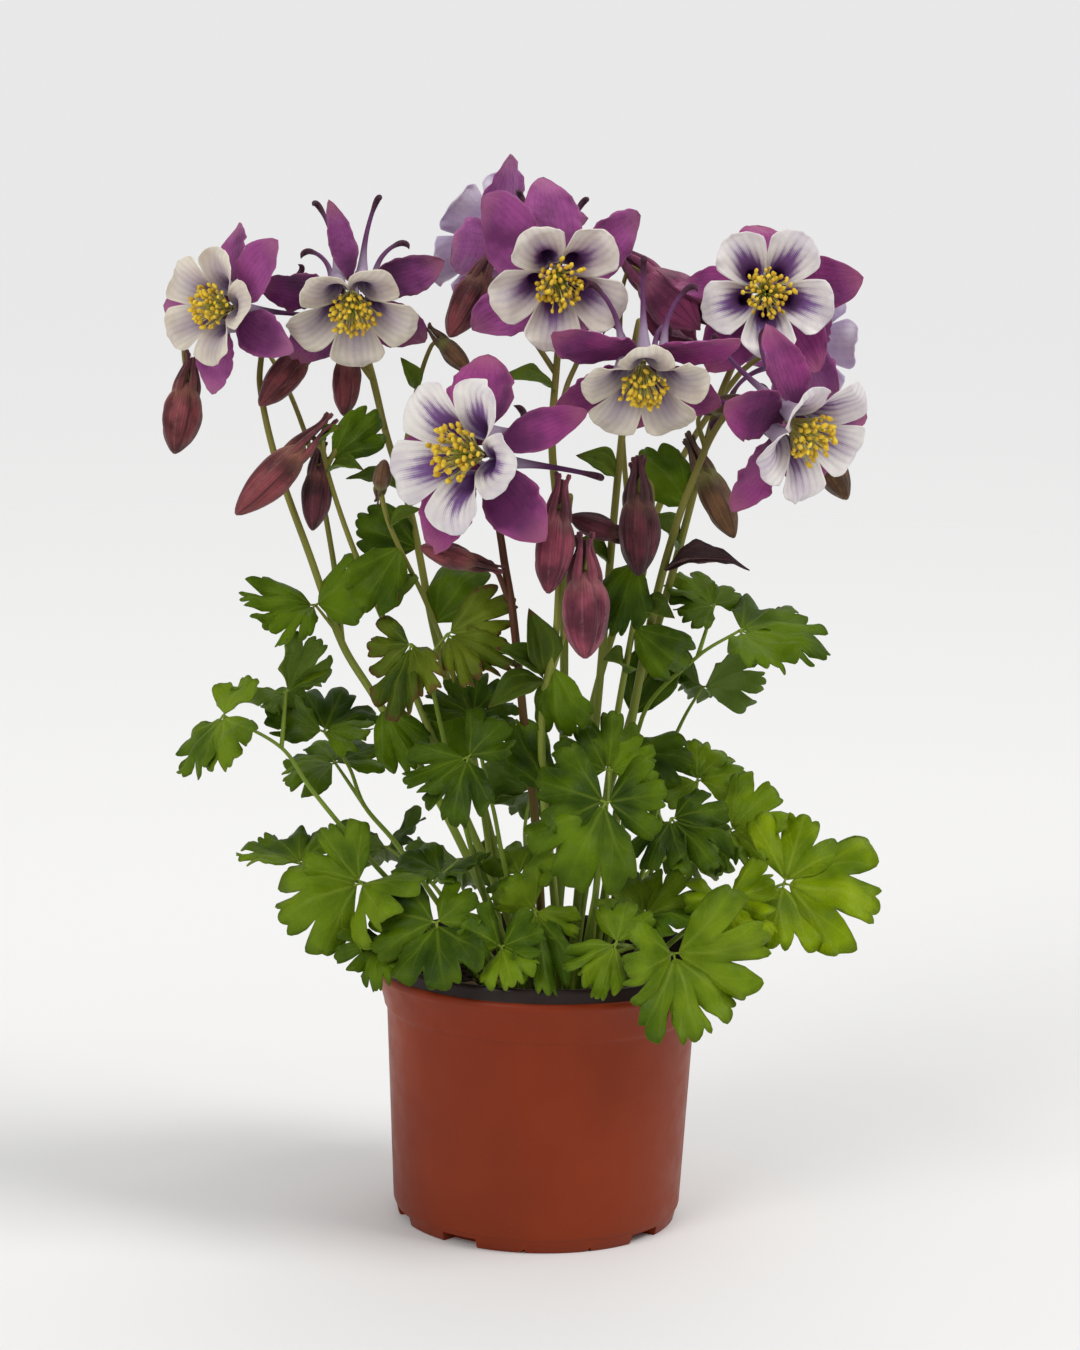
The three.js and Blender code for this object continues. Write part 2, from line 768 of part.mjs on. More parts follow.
// Five cupped petals that hold together at their feet, each drawn back into a spur.
function corolla(bloom) {
  const place = bloomPlace(bloom);
  const half = bloomAxes(bloom).out.multiplyScalar(BLADE / 2);
  const mids = [place(0, 0, PETAL.middle, 0)];
  const spot = ([out, aside, up], side, angle) => mids.push(place(out, side * aside, up, angle)) - 1;
  const petals = [0, 1, 2, 3, 4].map((k) => {
    const angle = bloom.turn + 72 * k;
    const edge = (side) => [PETAL.foot, PETAL.widest, PETAL.lip].map((p) => spot(p, side, angle));
    return {
      angle,
      right: edge(-1),
      left: edge(1),
      notch: spot(PETAL.notch, 0, angle + 36),
      throat: spot(PETAL.throat, 0, angle),
      rib: spot(PETAL.rib, 0, angle),
    };
  });
  const count = mids.length;
  const points = [...mids.map((p) => p.clone().add(half)), ...mids.map((p) => p.clone().sub(half))];
  const triangles = [];
  petals.forEach(({ angle, right, left, notch, throat, rib }, k) => {
    const before = petals[(k + 4) % 5].notch;
    const limb = [[right[0], right[1], rib], [rib, left[1], left[0]],
      [right[1], right[2], rib], [rib, right[2], left[2]], [rib, left[2], left[1]]];
    const hexagon = [0, before, right[0], rib, left[0], notch];
    const outline = [before, ...right, ...[...left].reverse(), notch];
    triangles.push(...limb, ...hexagon.map((from, i) => [throat, from, hexagon[(i + 1) % 6]]));
    triangles.push(...limb.map(([a, b, c]) => [a + count, c + count, b + count]));
    for (let i = 0; i + 1 < outline.length; i += 1) {
      const [a, b] = [outline[i], outline[i + 1]];
      triangles.push([a, a + count, b + count], [a, b + count, b]);
    }
    const first = points.length;
    points.push(...spurRings(place, angle).flat());
    triangles.push(...spurSkin(first, hexagon.map((i) => i + count)));
  });
  return solid(points, triangles);
}

// The skin of a spur: a funnel from the throat's hexagon to the first ring, the rings'
// four sides, and the knob's end.
function spurSkin(first, [centre, q0, r0, rib, l0, q1]) {
  const [inner, toRight, outer, toLeft] = [first, first + 1, first + 2, first + 3];
  const funnel = [[centre, q0, inner], [q0, toRight, inner], [q0, r0, toRight],
    [r0, outer, toRight], [r0, rib, outer], [rib, l0, outer], [l0, toLeft, outer],
    [l0, q1, toLeft], [q1, inner, toLeft], [q1, centre, inner]];
  const skin = funnel.map(([a, b, c]) => [a, c, b]);
  for (let ring = 0; ring + 1 < SPUR.length; ring += 1) {
    for (let side = 0; side < 4; side += 1) {
      const a = first + 4 * ring + side;
      const b = first + 4 * ring + ((side + 1) % 4);
      skin.push([b, a, a + 4], [b, a + 4, b + 4]);
    }
  }
  const end = first + 4 * (SPUR.length - 1);
  skin.push([end + 1, end, end + 3], [end + 1, end + 3, end + 2]);
  return skin;
}

// A brush of stamens: each one is drawn out of a face of the small core, narrows to its
// stalk and swells again at the anther.
function stamenBrush(bloom, random) {
  const place = bloomPlace(bloom);
  const { out } = bloomAxes(bloom);
  const { sides, core, length, anther, outerLean, innerLean, swell } = STAMENS;
  const corners = Array.from({ length: sides }, (_, k) => (360 * k) / sides);
  const points = core.flatMap(([radius, height]) => corners.map((turn) => place(radius, 0, height, turn)));
  const base = place(0, 0, core[0][1], 0);
  const triangles = [];
  const drawOut = (face, reach, lean) => {
    const from = face.map((i) => points[i]);
    const middle = from[0].clone().add(from[1]).add(from[2]).divideScalar(3);
    const away = middle.clone().sub(base);
    away.addScaledVector(out, -away.dot(out)).normalize();
    const way = out.clone().multiplyScalar(Math.cos(lean)).addScaledVector(away, Math.sin(lean));
    const tip = base.clone().addScaledVector(way, reach * bloom.size);
    const line = tip.clone().sub(middle);
    const axis = line.clone().normalize();
    let ring = face;
    for (const [share, width] of swell) {
      const next = from.map((corner) => {
        const side = corner.clone().sub(middle);
        side.addScaledVector(axis, -side.dot(axis)).setLength(width * anther * bloom.size);
        return points.push(middle.clone().addScaledVector(line, share).add(side)) - 1;
      });
      ring.forEach((a, i) => {
        const j = (i + 1) % 3;
        triangles.push([a, ring[j], next[j]], [a, next[j], next[i]]);
      });
      ring = next;
    }
    const end = points.push(tip) - 1;
    ring.forEach((a, i) => triangles.push([a, ring[(i + 1) % 3], end]));
  };
  corners.forEach((_, a) => {
    const b = (a + 1) % sides;
    const [mid, next] = [a + sides, b + sides];
    triangles.push([a, b, next], [a, next, mid], [next, next + sides, mid + sides]);
    drawOut([mid, next, mid + sides], length * (0.92 + 0.12 * random()), outerLean * DEG);
  });
  for (let k = 1; k + 1 < sides; k += 1) {
    triangles.push([0, k + 1, k]);
    drawOut([2 * sides, 2 * sides + k, 2 * sides + k + 1], length * (1 + 0.08 * random()), innerLean * DEG);
  }
  return solid(points, triangles);
}

function bloomNodes([name, bloom], index) {
  return [
    node(`${name}_sepals`, sepalStar(bloom), FINISH.sepal),
    node(`${name}_petals`, corolla(bloom), FINISH.petal),
    node(`${name}_stamens`, stamenBrush(bloom, seeded(index + 1)), FINISH.stamen),
  ];
}

// ---------------------------------------------------------------------------- stems

// A closed bud: a five-sided spindle that hangs from its stalk, with the five spurs drawn
// back past the stalk from its shoulders.
function bud([base, tip, radius]) {
  const [start, end] = [vec(base), vec(tip)];
  const along = end.clone().sub(start).normalize();
  const across = along.clone().cross(new THREE.Vector3(0.3, 1, 0.2)).normalize();
  const spot = (f, r, turn) => start.clone().lerp(end, f)
    .addScaledVector(across.clone().applyAxisAngle(along, turn * DEG), r * radius);
  const fifths = [0, 1, 2, 3, 4];
  const points = BUD.rings.flatMap(([f, r]) => fifths.map((k) => spot(f, r, 72 * k)));
  const triangles = [];
  fifths.forEach((k) => {
    const next = (k + 1) % 5;
    const apex = points.push(spot(BUD.spur[0], BUD.spur[1], 72 * k + 36)) - 1;
    const shoulder = [k, next, next + 5, k + 5];
    shoulder.forEach((from, i) => triangles.push([from, shoulder[(i + 1) % 4], apex]));
    for (let ring = 5; ring < 15; ring += 5) {
      triangles.push([ring + k, ring + next, ring + next + 5], [ring + k, ring + next + 5, ring + k + 5]);
    }
  });
  for (let k = 1; k < 4; k += 1) triangles.push([0, k + 1, k], [15, 15 + k, 16 + k]);
  return solid(points, triangles);
}

// The end of a stalk that comes up between the two lowest spurs of its bloom, turns along
// the bloom's axis and stops just behind the sepals.
function pedicel(name) {
  const bloom = BLOOMS[name];
  const place = bloomPlace(bloom);
  const gaps = [0, 1, 2, 3, 4].map((k) => bloom.turn + 36 + 72 * k);
  const lowest = gaps.reduce((best, a) => (Math.sin(a * DEG) < Math.sin(best * DEG) ? a : best));
  const end = place(0, 0, 0, 0).addScaledVector(bloomAxes(bloom).out, -SEAT_GAP - BLADE / 2);
  return [place(12, 0, -24, lowest), place(4, 0, -13, lowest), end];
}

// A leafy stem: the main stalk with its side branches, bracts, leaves and buds.
function stemSolid(stem) {
  const { root, route, bloom, thick = STEM } = stem;
  const { branches = [], buds = [], bracts = [], blades = [], trios = [] } = stem;
  const line = route.map(vec);
  const main = bloom ? [...line, ...pedicel(bloom)] : line;
  const pieces = [rooted(root, main, thick, 0.9, 4)];
  for (const branch of branches) {
    const side = branch.route.map(vec);
    const whole = branch.bloom ? [...side, ...pedicel(branch.bloom)] : side;
    pieces.push(stalk(whole, 1.15, 0.8, 3));
  }
  pieces.push(...buds.map(bud));
  pieces.push(...bracts.map((item) => bract(...item)), ...blades.map((item) => broadBlade(...item)));
  for (const { from, at, tips, facing } of trios) {
    pieces.push(stalk([vec(from), vec(at)], 0.9, 0.45, 3), trio(at, tips, facing));
  }
  return join(pieces);
}

const STEMS = {
  stem_left: {
    root: [-9, -3],
    route: [[-20, -4, 120], [-45, -6, 170], [-67, -8, 204], [-78, -10, 222], [-91, -10, 256],
      [-104, -6, 290], [-111, 0, 318]],
    bloom: 'bloom_left',
    branches: [{ route: [[-78, -10, 222], [-83, 0, 255], [-94, 16, 296], [-112, 30, 330], [-131, 24, 344],
      [-140, 6, 334], [-138, -2, 318]] }],
    buds: [[[-138, -2, 318], [-142, -8, 292], 7.2]],
    trios: [{ from: [-78, -10, 224], at: [-88, -14, 237],
      tips: [[-117, -20, 240], [-100, -32, 228], [-72, -24, 250]], facing: [0, -1, 1] }],
    blades: [
      [[-62.6, -7.6, 197.2], [-48.3, -21.9, 176.6], [-0.4, -1, 1], 0.4],
    ],
  },
  stem_left_buds: {
    root: [-5, -9],
    route: [[-14, -10, 120], [-36, -12, 170], [-55, -12, 215], [-64, -15, 236], [-75, -19, 262],
      [-83, -23, 286], [-86, -26, 300]],
    branches: [
      { route: [[-85, -24, 296], [-91, -30, 303], [-92, -32, 297]] },
      { route: [[-84, -23, 290], [-81, -20, 296], [-83, -20, 293], [-88, -21, 289]] },
    ],
    buds: [[[-92, -32, 298], [-116, -38, 273], 6.6], [[-87, -21, 290], [-89, -22, 266], 5.6]],
    bracts: [
      [[-84, -23, 288], [-70, -30, 290], [0, -0.5, 1], 0.3],
      [[-86, -25, 298], [-78, -34, 306], [0, -1, 1]],
    ],
    blades: [
      [[-82.5, -21.5, 293], [-65.3, -6.3, 307.7], [0.5, -1, 0.4], 0.35],
    ],
  },
  stem_upper_left: {
    root: [-8, 5],
    route: [[-14, 6, 120], [-30, 4, 180], [-43, 3, 222], [-54, 3, 272], [-63, 6, 298], [-71, 10, 326]],
    bloom: 'bloom_upper_left',
    branches: [
      { route: [[-69, 9, 320], [-84, 13, 338], [-93, 7, 340], [-94, 0, 331]] },
      { route: [[-64, 6, 302], [-72, 14, 330], [-77, 16, 336], [-79, 14, 329]] },
      { route: [[-58, 4, 284], [-52, 0, 318], [-47, -2, 334], [-43, -4, 337]] },
    ],
    buds: [[[-94, 0, 331], [-110, -12, 311], 6], [[-79, 14, 330], [-80, 12, 306], 5.5],
      [[-44, -4, 337], [-32, -8, 325], 3.8]],
    bracts: [
      [[-56, 3, 278], [-78, -4, 284], [0, -0.6, 1]],
      [[-52, 0, 318], [-58, -8, 330], [0, -1, 0.6]],
    ],
    blades: [
      [[-50.9, 3, 257.7], [-73.7, -8.8, 267.8], [-0.2, -1, 0.2], 0.4],
    ],
  },
  stem_middle: {
    root: [1, -10],
    thick: 1.9,
    route: [[-1, -14, 124], [-4, -20, 160], [-8, -27, 190], [-14, -37, 240], [-18, -38, 262],
      [-20, -38, 280]],
    bloom: 'bloom_middle',
    branches: [{ route: [[-15, -37, 243], [-22, -43, 258], [-28, -45, 258]] }],
    buds: [[[-27, -45, 258], [-48, -49, 264], 4.6]],
  },
  stem_thin_left: {
    root: [-13, 2],
    thick: 1.4,
    route: [[-18, 3, 120], [-27, -1, 175], [-36, -5, 210], [-46, -15, 238], [-60, -24, 268],
      [-64, -26, 282]],
    buds: [[[-64, -26, 282], [-62, -34, 294], 3.4]],
    bracts: [
      [[-51.6, -18.6, 250], [-56, -34, 242], [0, -1, 1]],
      [[-60, -24, 268], [-48, -32, 276], [0, -1, 1]],
    ],
    blades: [
      [[-56.5, -21.8, 260.5], [-71.7, -33.6, 238.3], [0.4, -1, 0.4], 0.41],
      [[-43.5, -12.5, 231], [-25.5, -2.6, 252.8], [0, -1, 0.8], 0.44],
      [[-34.2, -4.2, 203], [-40.1, -6.4, 174.8], [0.1, -1, 0.4], 0.42],
    ],
  },
  stem_top: {
    root: [4, 3],
    thick: 1.9,
    route: [[6, 4, 140], [6, 5, 200], [4, 6, 254], [-1, 6, 298], [0, 9, 326]],
    bloom: 'bloom_top',
    branches: [
      { route: [[-1, 6, 298], [4, 26, 318], [10, 38, 338]], bloom: 'bloom_top_back' },
      { route: [[0, 9, 324], [-14, 12, 344], [-24, 9, 358], [-29, 3, 361]] },
    ],
    buds: [[[-29, 3, 361], [-40, -8, 338], 6.4]],
    bracts: [[[0, 8, 318], [-22, 0, 322], [0, -0.6, 1]]],
  },
  stem_centre: {
    root: [11, -5],
    route: [[14, -6, 140], [18, -6, 190], [21, -8, 240], [24, -12, 290], [27, -14, 325], [30, -20, 346]],
    bloom: 'bloom_centre',
    bracts: [
      [[22, -9, 255], [6, -12, 262], [0, -0.6, 1], 0.34],
      [[24, -12, 288], [8, -18, 296], [0, -1, 0.8], 0.3],
    ],
  },
  stem_right: {
    root: [12, 5],
    route: [[18, 6, 140], [32, 6, 195], [46, 6, 250], [54, 8, 284], [62, 14, 316], [72, 20, 342]],
    bloom: 'bloom_right',
    branches: [
      { route: [[53, 8, 280], [57, 2, 293], [55, -4, 297], [55, -7, 290]] },
      { route: [[57, 10, 298], [54, 8, 308], [57, 6, 313]] },
      { route: [[60, 12, 308], [79, 10, 315], [92, 4, 312], [97, -2, 302]] },
    ],
    buds: [[[55, -6, 292], [68, -12, 266], 6], [[57, 6, 313], [74, 3, 316], 4.4],
      [[97, -2, 302], [110, -8, 281], 6]],
    bracts: [[[48, 6, 258], [34, -2, 272], [0, -0.6, 1], 0.34]],
    blades: [
      [[32, 6, 195], [43.9, 8.7, 220.5], [0, -1, 0.8], 0.42],
      [[52, 7.5, 275.5], [32.9, 8.1, 296], [0.2, -1, 0.4], 0.44],
    ],
  },
  stem_lower_right: {
    root: [19, 2],
    thick: 1.9,
    route: [[24, -2, 130], [31, -8, 190], [38, -16, 236], [43, -19, 260], [50, -20, 284]],
    bloom: 'bloom_lower_right',
    bracts: [
      [[42, -18.5, 254], [67, -32, 260], [0, -0.6, 1], 0.2],
      [[42, -18.5, 254], [74, -16, 254], [0, -0.4, 1], 0.2],
    ],
    blades: [
      [[30.1, -7.2, 182.5], [56.1, -10.1, 180.2], [0.5, -1, 0.6], 0.43],
    ],
  },
  stem_back: {
    root: [5, 11],
    route: [[8, 14, 140], [18, 20, 200], [34, 28, 254], [50, 38, 292]],
    bloom: 'bloom_right_back',
    branches: [{ route: [[32, 27, 248], [26, 28, 300], [24, 30, 350], [27, 29, 364], [32, 27, 362]] }],
    buds: [[[31, 28, 363], [54, 22, 342], 8.6]],
  },
  stem_front_buds: {
    root: [7, -12],
    route: [[4, -22, 130], [-1, -32, 172], [-2, -39, 206], [2, -43, 230], [3, -44, 256], [6, -44, 280],
      [6, -49, 284], [2, -53, 279]],
    branches: [{ route: [[-2, -39, 208], [5, -42, 232], [10, -44, 256], [13, -50, 264], [12, -54, 257]] }],
    buds: [[[2, -53, 279], [-1, -56, 249], 7], [[12, -54, 257], [13, -59, 226], 8.8]],
    bracts: [
      [[-2, -40, 217], [-8, -44, 242], [0.4, -1, 0.2], 0.26],
      [[-2, -40, 216], [-20, -50, 228], [0, -1, 1], 0.24],
      [[-2, -40, 215], [-22, -53, 206], [0, -1, 1], 0.24],
    ],
    blades: [
      [[1.5, -40.5, 220], [7.5, -40.6, 192.2], [-0.5, -1, 0.6], 0.42],
      [[-1, -32, 172], [-14.6, -34.4, 198.4], [0, -1, 1.1], 0.39],
    ],
  },
  stem_right_buds: {
    root: [18, -4],
    thick: 1.5,
    route: [[20, -9, 130], [25, -15, 190], [32, -22, 240], [36, -26, 268], [36, -27, 286], [32, -31, 289],
      [31, -33, 283]],
    branches: [{ route: [[33, -24, 252], [29, -28, 264], [25, -31, 268]] }],
    buds: [[[31, -33, 284], [32, -38, 254], 7.7], [[25, -31, 268], [6, -35, 275], 4.6]],
    bracts: [
      [[28.5, -18.5, 215], [20, -32, 222], [0, -1, 1], 0.34],
      [[32, -22, 240], [46, -34, 238], [0, -1, 1], 0.3],
    ],
    blades: [
      [[31, -26, 258], [22.8, -36.1, 231.1], [0.2, -1, 0.8], 0.4],
      [[31, -21, 232.9], [52.5, -13.5, 215.6], [0.2, -1, -0.1], 0.37],
    ],
  },
};

// ------------------------------------------------------------------- whole assembly

// Every stalk's hole in the soil: a little wider than the stalk, straight down.
function roots() {
  const hole = (root, radius) => ({ x: root[0], y: root[1], radius: Math.SQRT2 * (radius + SOIL.holeGap) });
  return [
    ...Object.values(STEMS).map(({ root, thick = STEM }) => hole(root, thick)),
    ...Object.values(LEAVES).map(({ root }) => hole(root, LEAF_STALK)),
  ];
}

const columbine = new THREE.Group();
columbine.add(node('pot', potSolid(), FINISH.pot));
columbine.add(node('soil', soilSolid(roots()), FINISH.soil));
for (const [name, leaf] of Object.entries(LEAVES)) columbine.add(node(name, leafSolid(leaf), FINISH.leaf));
for (const [name, stem] of Object.entries(STEMS)) columbine.add(node(name, stemSolid(stem), FINISH.stem));
Object.entries(BLOOMS).flatMap(bloomNodes).forEach((piece) => columbine.add(piece));

export default columbine;
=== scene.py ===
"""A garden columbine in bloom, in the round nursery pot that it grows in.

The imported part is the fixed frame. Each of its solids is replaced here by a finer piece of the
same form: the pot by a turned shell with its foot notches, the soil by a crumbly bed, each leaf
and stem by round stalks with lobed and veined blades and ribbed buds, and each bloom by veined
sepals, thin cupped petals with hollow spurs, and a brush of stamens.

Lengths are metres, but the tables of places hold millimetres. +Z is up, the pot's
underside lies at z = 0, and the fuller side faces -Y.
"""

import logging
import math
import random
from collections.abc import Callable, Iterable, Sequence
from dataclasses import dataclass
from enum import Enum
from itertools import product

import bmesh
import bpy
from mathutils import Matrix, Vector, noise


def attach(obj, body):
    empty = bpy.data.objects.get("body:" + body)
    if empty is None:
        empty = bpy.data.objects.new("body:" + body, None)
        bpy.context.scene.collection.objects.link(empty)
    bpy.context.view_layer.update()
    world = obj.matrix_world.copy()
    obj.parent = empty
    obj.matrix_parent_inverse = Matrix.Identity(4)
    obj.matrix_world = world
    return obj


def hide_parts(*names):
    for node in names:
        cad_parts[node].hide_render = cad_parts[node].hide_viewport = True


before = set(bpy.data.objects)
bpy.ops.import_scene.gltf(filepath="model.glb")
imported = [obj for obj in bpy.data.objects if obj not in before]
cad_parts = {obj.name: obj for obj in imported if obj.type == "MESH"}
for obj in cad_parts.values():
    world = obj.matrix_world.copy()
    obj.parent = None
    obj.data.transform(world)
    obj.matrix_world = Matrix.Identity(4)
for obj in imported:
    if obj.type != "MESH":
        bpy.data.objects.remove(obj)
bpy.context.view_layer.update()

BODY = "root"
MERGE = 1e-6
MM_PER_METRE = 1000
MM = 1 / MM_PER_METRE

Point = tuple[float, float, float]
Colour = tuple[float, float, float, float]
Surface = Callable[[float, float], Vector]

log = logging.getLogger("columbine")


# -------------------------------- curves


def clamp(value: float, low: float = 0.0, high: float = 1.0) -> float:
    """Keeps a value between two limits."""
    return min(max(value, low), high)


def smooth(value: float, low: float, high: float) -> float:
    """Rises smoothly from 0 at low to 1 at high."""
    t = clamp((value - low) / (high - low))
    return t * t * (3 - 2 * t)


def ray(angle: float) -> tuple[float, float]:
    """Gives the cosine and the sine of an angle in degrees."""
    return math.cos(math.radians(angle)), math.sin(math.radians(angle))


class Profile:
    """A smooth curve through (position, value) pairs, such as the swell of a bud."""

    def __init__(self, *pairs: tuple[float, float]) -> None:
        """Keeps the pairs.

        Args:
            pairs: Positions in rising order, each with its value.
        """
        self.at = [pair[0] for pair in pairs]
        self.value = [pair[1] for pair in pairs]

    def slope(self, i: int) -> float:
        """The curve's slope at pair i."""
        low, high = max(i - 1, 0), min(i + 1, len(self.at) - 1)
        return (self.value[high] - self.value[low]) / (self.at[high] - self.at[low])

    def __call__(self, x: float) -> float:
        """Reads the curve.

        Args:
            x: The position, held between the first and the last pair's.

        Returns:
            The value there.
        """
        x = clamp(x, self.at[0], self.at[-1])
        i = 0
        while i < len(self.at) - 2 and x > self.at[i + 1]:
            i += 1
        span = self.at[i + 1] - self.at[i]
        t = (x - self.at[i]) / span
        start, end = self.value[i], self.value[i + 1]
        rise, fall = self.slope(i) * span, self.slope(i + 1) * span
        cubic = 2 * start + rise - 2 * end + fall
        return start + t * (rise + t * ((-3 * start + 3 * end - 2 * rise - fall) + t * cubic))


def smooth_line(points: Sequence[Vector], steps: int) -> list[Vector]:
    """Draws a smooth line through given points.

    Args:
        points: The points, in order.
        steps: How many stations each stretch between two points gets.

    Returns:
        The line's stations, the first and last point included.
    """
    last = len(points) - 1
    gaps = [max((b - a).length, MERGE) for a, b in zip(points, points[1:])]

    def speed(i: int) -> Vector:
        """How fast the line moves at point i, for each unit of its length."""
        low, high = max(i - 1, 0), min(i + 1, last)
        return (points[high] - points[low]) / sum(gaps[low:high])

    line = []
    for i in range(last):
        start, end = points[i], points[i + 1]
        rise, fall = speed(i) * gaps[i], speed(i + 1) * gaps[i]
        for k in range(steps):
            t = k / steps
            cubic = 2 * start + rise - 2 * end + fall
            square = -3 * start + 3 * end - 2 * rise - fall
            line.append(start + t * (rise + t * (square + t * cubic)))
    line.append(points[last].copy())
    return line


def metres(point: Point) -> Vector:
    """Turns a place written in millimetres into a vector in metres."""
    return Vector([value / MM_PER_METRE for value in point])


def vectors(points: Iterable[Point]) -> list[Vector]:
    """Turns places written in millimetres into vectors in metres."""
    return [metres(point) for point in points]


def ripple(x: float, y: float, z: float) -> float:
    """A soft, smooth noise, from about -1 to 1, at a place of its own space."""
    return noise.noise(Vector((x, y, z)))


# -------------------------------- meshes


def stand(name: str, data: bpy.types.ID | None) -> bpy.types.Object:
    """Makes an object of some data and puts it in the scene.

    Args:
        name: The object's name.
        data: Its mesh, light or camera.

    Returns:
        The object.
    """
    thing = bpy.data.objects.new(name, data)
    bpy.context.scene.collection.objects.link(thing)
    return thing


class Mesher:
    """Grows one piece in a bmesh, sheet by sheet and stalk by stalk, and makes its object."""

    def __init__(self) -> None:
        """Starts an empty mesh with a UV map and a mark for the back of its blades."""
        self.mesh = bmesh.new()
        self.mesh.loops.layers.uv.new("UVMap")
        self.back = self.mesh.verts.layers.float.new("back")
        self.shade = self.mesh.verts.layers.float.new("shade")

    def sheet(self, columns: int, rows: int, surface: Surface, finish: int = 0,
              shade: float = 0.0) -> None:
        """Lays a grid on a surface and closes the seams where its sides meet.

        Args:
            columns: Faces across, along u.
            rows: Faces along v.
            surface: Gives the place of each (u, v) in 0 to 1.
            finish: Which of the piece's materials the sheet takes.
            shade: The sheet's own tone, from -1 to 1.
        """
        grid = bmesh.ops.create_grid(
            self.mesh, x_segments=columns, y_segments=rows, size=0.5, calc_uvs=True
        )
        verts = grid["verts"]
        for face in {face for vert in verts for face in vert.link_faces}:
            face.material_index = finish
        for vert in verts:
            vert.co = surface(vert.co.x + 0.5, vert.co.y + 0.5)
            vert[self.shade] = shade
        bmesh.ops.remove_doubles(self.mesh, verts=verts, dist=MERGE)

    def tube(self, line: Sequence[Vector], radius: Callable[[float], float], sides: int,
             finish: int = 0, ribs: Callable[[float, float], float] | None = None) -> None:
        """Lays a closed round skin along a line.

        Args:
            line: The middle line's stations.
            radius: The radius at each share of the line, from 0 to 1.
            sides: Faces around.
            finish: Which of the piece's materials the tube takes.
            ribs: A factor on the radius at each turn around and share along, both 0 to 1.
        """
        last = len(line) - 1
        ahead = (line[1] - line[0]).normalized()
        across = ahead.orthogonal().normalized()
        frames = []
        for i, here in enumerate(line):
            ahead = (line[min(i + 1, last)] - line[max(i - 1, 0)]).normalized()
            across = (across - ahead * across.dot(ahead)).normalized()
            frames.append((here, across.copy(), ahead.cross(across)))

        def skin(u: float, v: float) -> Vector:
            """The skin's place at turn u and share v, which ends in a point at both ends."""
            row = round(v * (last + 2))
            station = min(max(row - 1, 0), last)
            here, side, other = frames[station]
            if row in (0, last + 2):
                return here
            reach = radius(station / last) * (ribs(u % 1.0, station / last) if ribs else 1.0)
            turn = math.tau * u
            return here + (side * math.cos(turn) + other * math.sin(turn)) * reach

        self.sheet(sides, last + 2, skin, finish)

    def thicken(self, thickness: float) -> None:
        """Gives every sheet laid so far its thickness and marks its new back.

        Args:
            thickness: The thickness.
        """
        front = set(self.mesh.verts)
        bmesh.ops.solidify(self.mesh, geom=self.mesh.faces[:], thickness=thickness)
        for vert in self.mesh.verts:
            if vert not in front:
                vert[self.back] = 1.0

    def pebble(self, centre: Vector, size: Vector, turn: Matrix, finish: int, shade: float) -> None:
        """Adds a rounded crumb or an anther.

        Args:
            centre: Where it lies.
            size: Its half lengths along its own axes.
            turn: How it is turned.
            finish: Which of the piece's materials it takes.
            shade: Its own tone, from -1 to 1.
        """
        matrix = Matrix.Translation(centre) @ turn.to_4x4() @ Matrix.Diagonal(size.to_4d())
        ball = bmesh.ops.create_icosphere(
            self.mesh, subdivisions=1, radius=1.0, matrix=matrix, calc_uvs=True
        )
        for vert in ball["verts"]:
            vert[self.shade] = shade
            for face in vert.link_faces:
                face.material_index = finish

    def piece(self, name: str, slot: "Slot", finishes: "Sequence[Finish]",
              replaces: str | None = None) -> bpy.types.Object:
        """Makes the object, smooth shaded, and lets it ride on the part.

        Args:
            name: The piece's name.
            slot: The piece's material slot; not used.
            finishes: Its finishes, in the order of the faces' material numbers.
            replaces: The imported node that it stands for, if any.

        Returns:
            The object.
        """
        data = bpy.data.meshes.new(name)
        self.mesh.to_mesh(data)
        self.mesh.free()
        data.shade_smooth()
        for finish in finishes:
            data.materials.append(WARDROBE(finish))
        thing = stand(name, data)
        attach(thing, BODY)
        if replaces:
            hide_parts(replaces)
        log.info("%s: %d faces", name, len(data.polygons))
        return thing


class Slot(Enum):
    """The material slots."""

    POT = "pot"
    SOIL = "soil"
    LEAF = "leaf"
    STEM = "stem"
    SEPAL = "sepal"
    PETAL = "petal"
    STAMEN = "stamen"


# ------------------------------ finishes


def srgb(code: int) -> Colour:
    """Turns a colour into linear light.

    Args:
        code: The colour, written as 0xRRGGBB.

    Returns:
        Its red, green and blue in linear light, and full opacity.
    """

    def channel(value: int) -> float:
        """Turns one channel, from 0 to 255, into linear light."""
        share = value / 255
        return share / 12.92 if share <= 0.04045 else ((share + 0.055) / 1.055) ** 2.4

    return (channel(code >> 16 & 255), channel(code >> 8 & 255), channel(code & 255), 1.0)


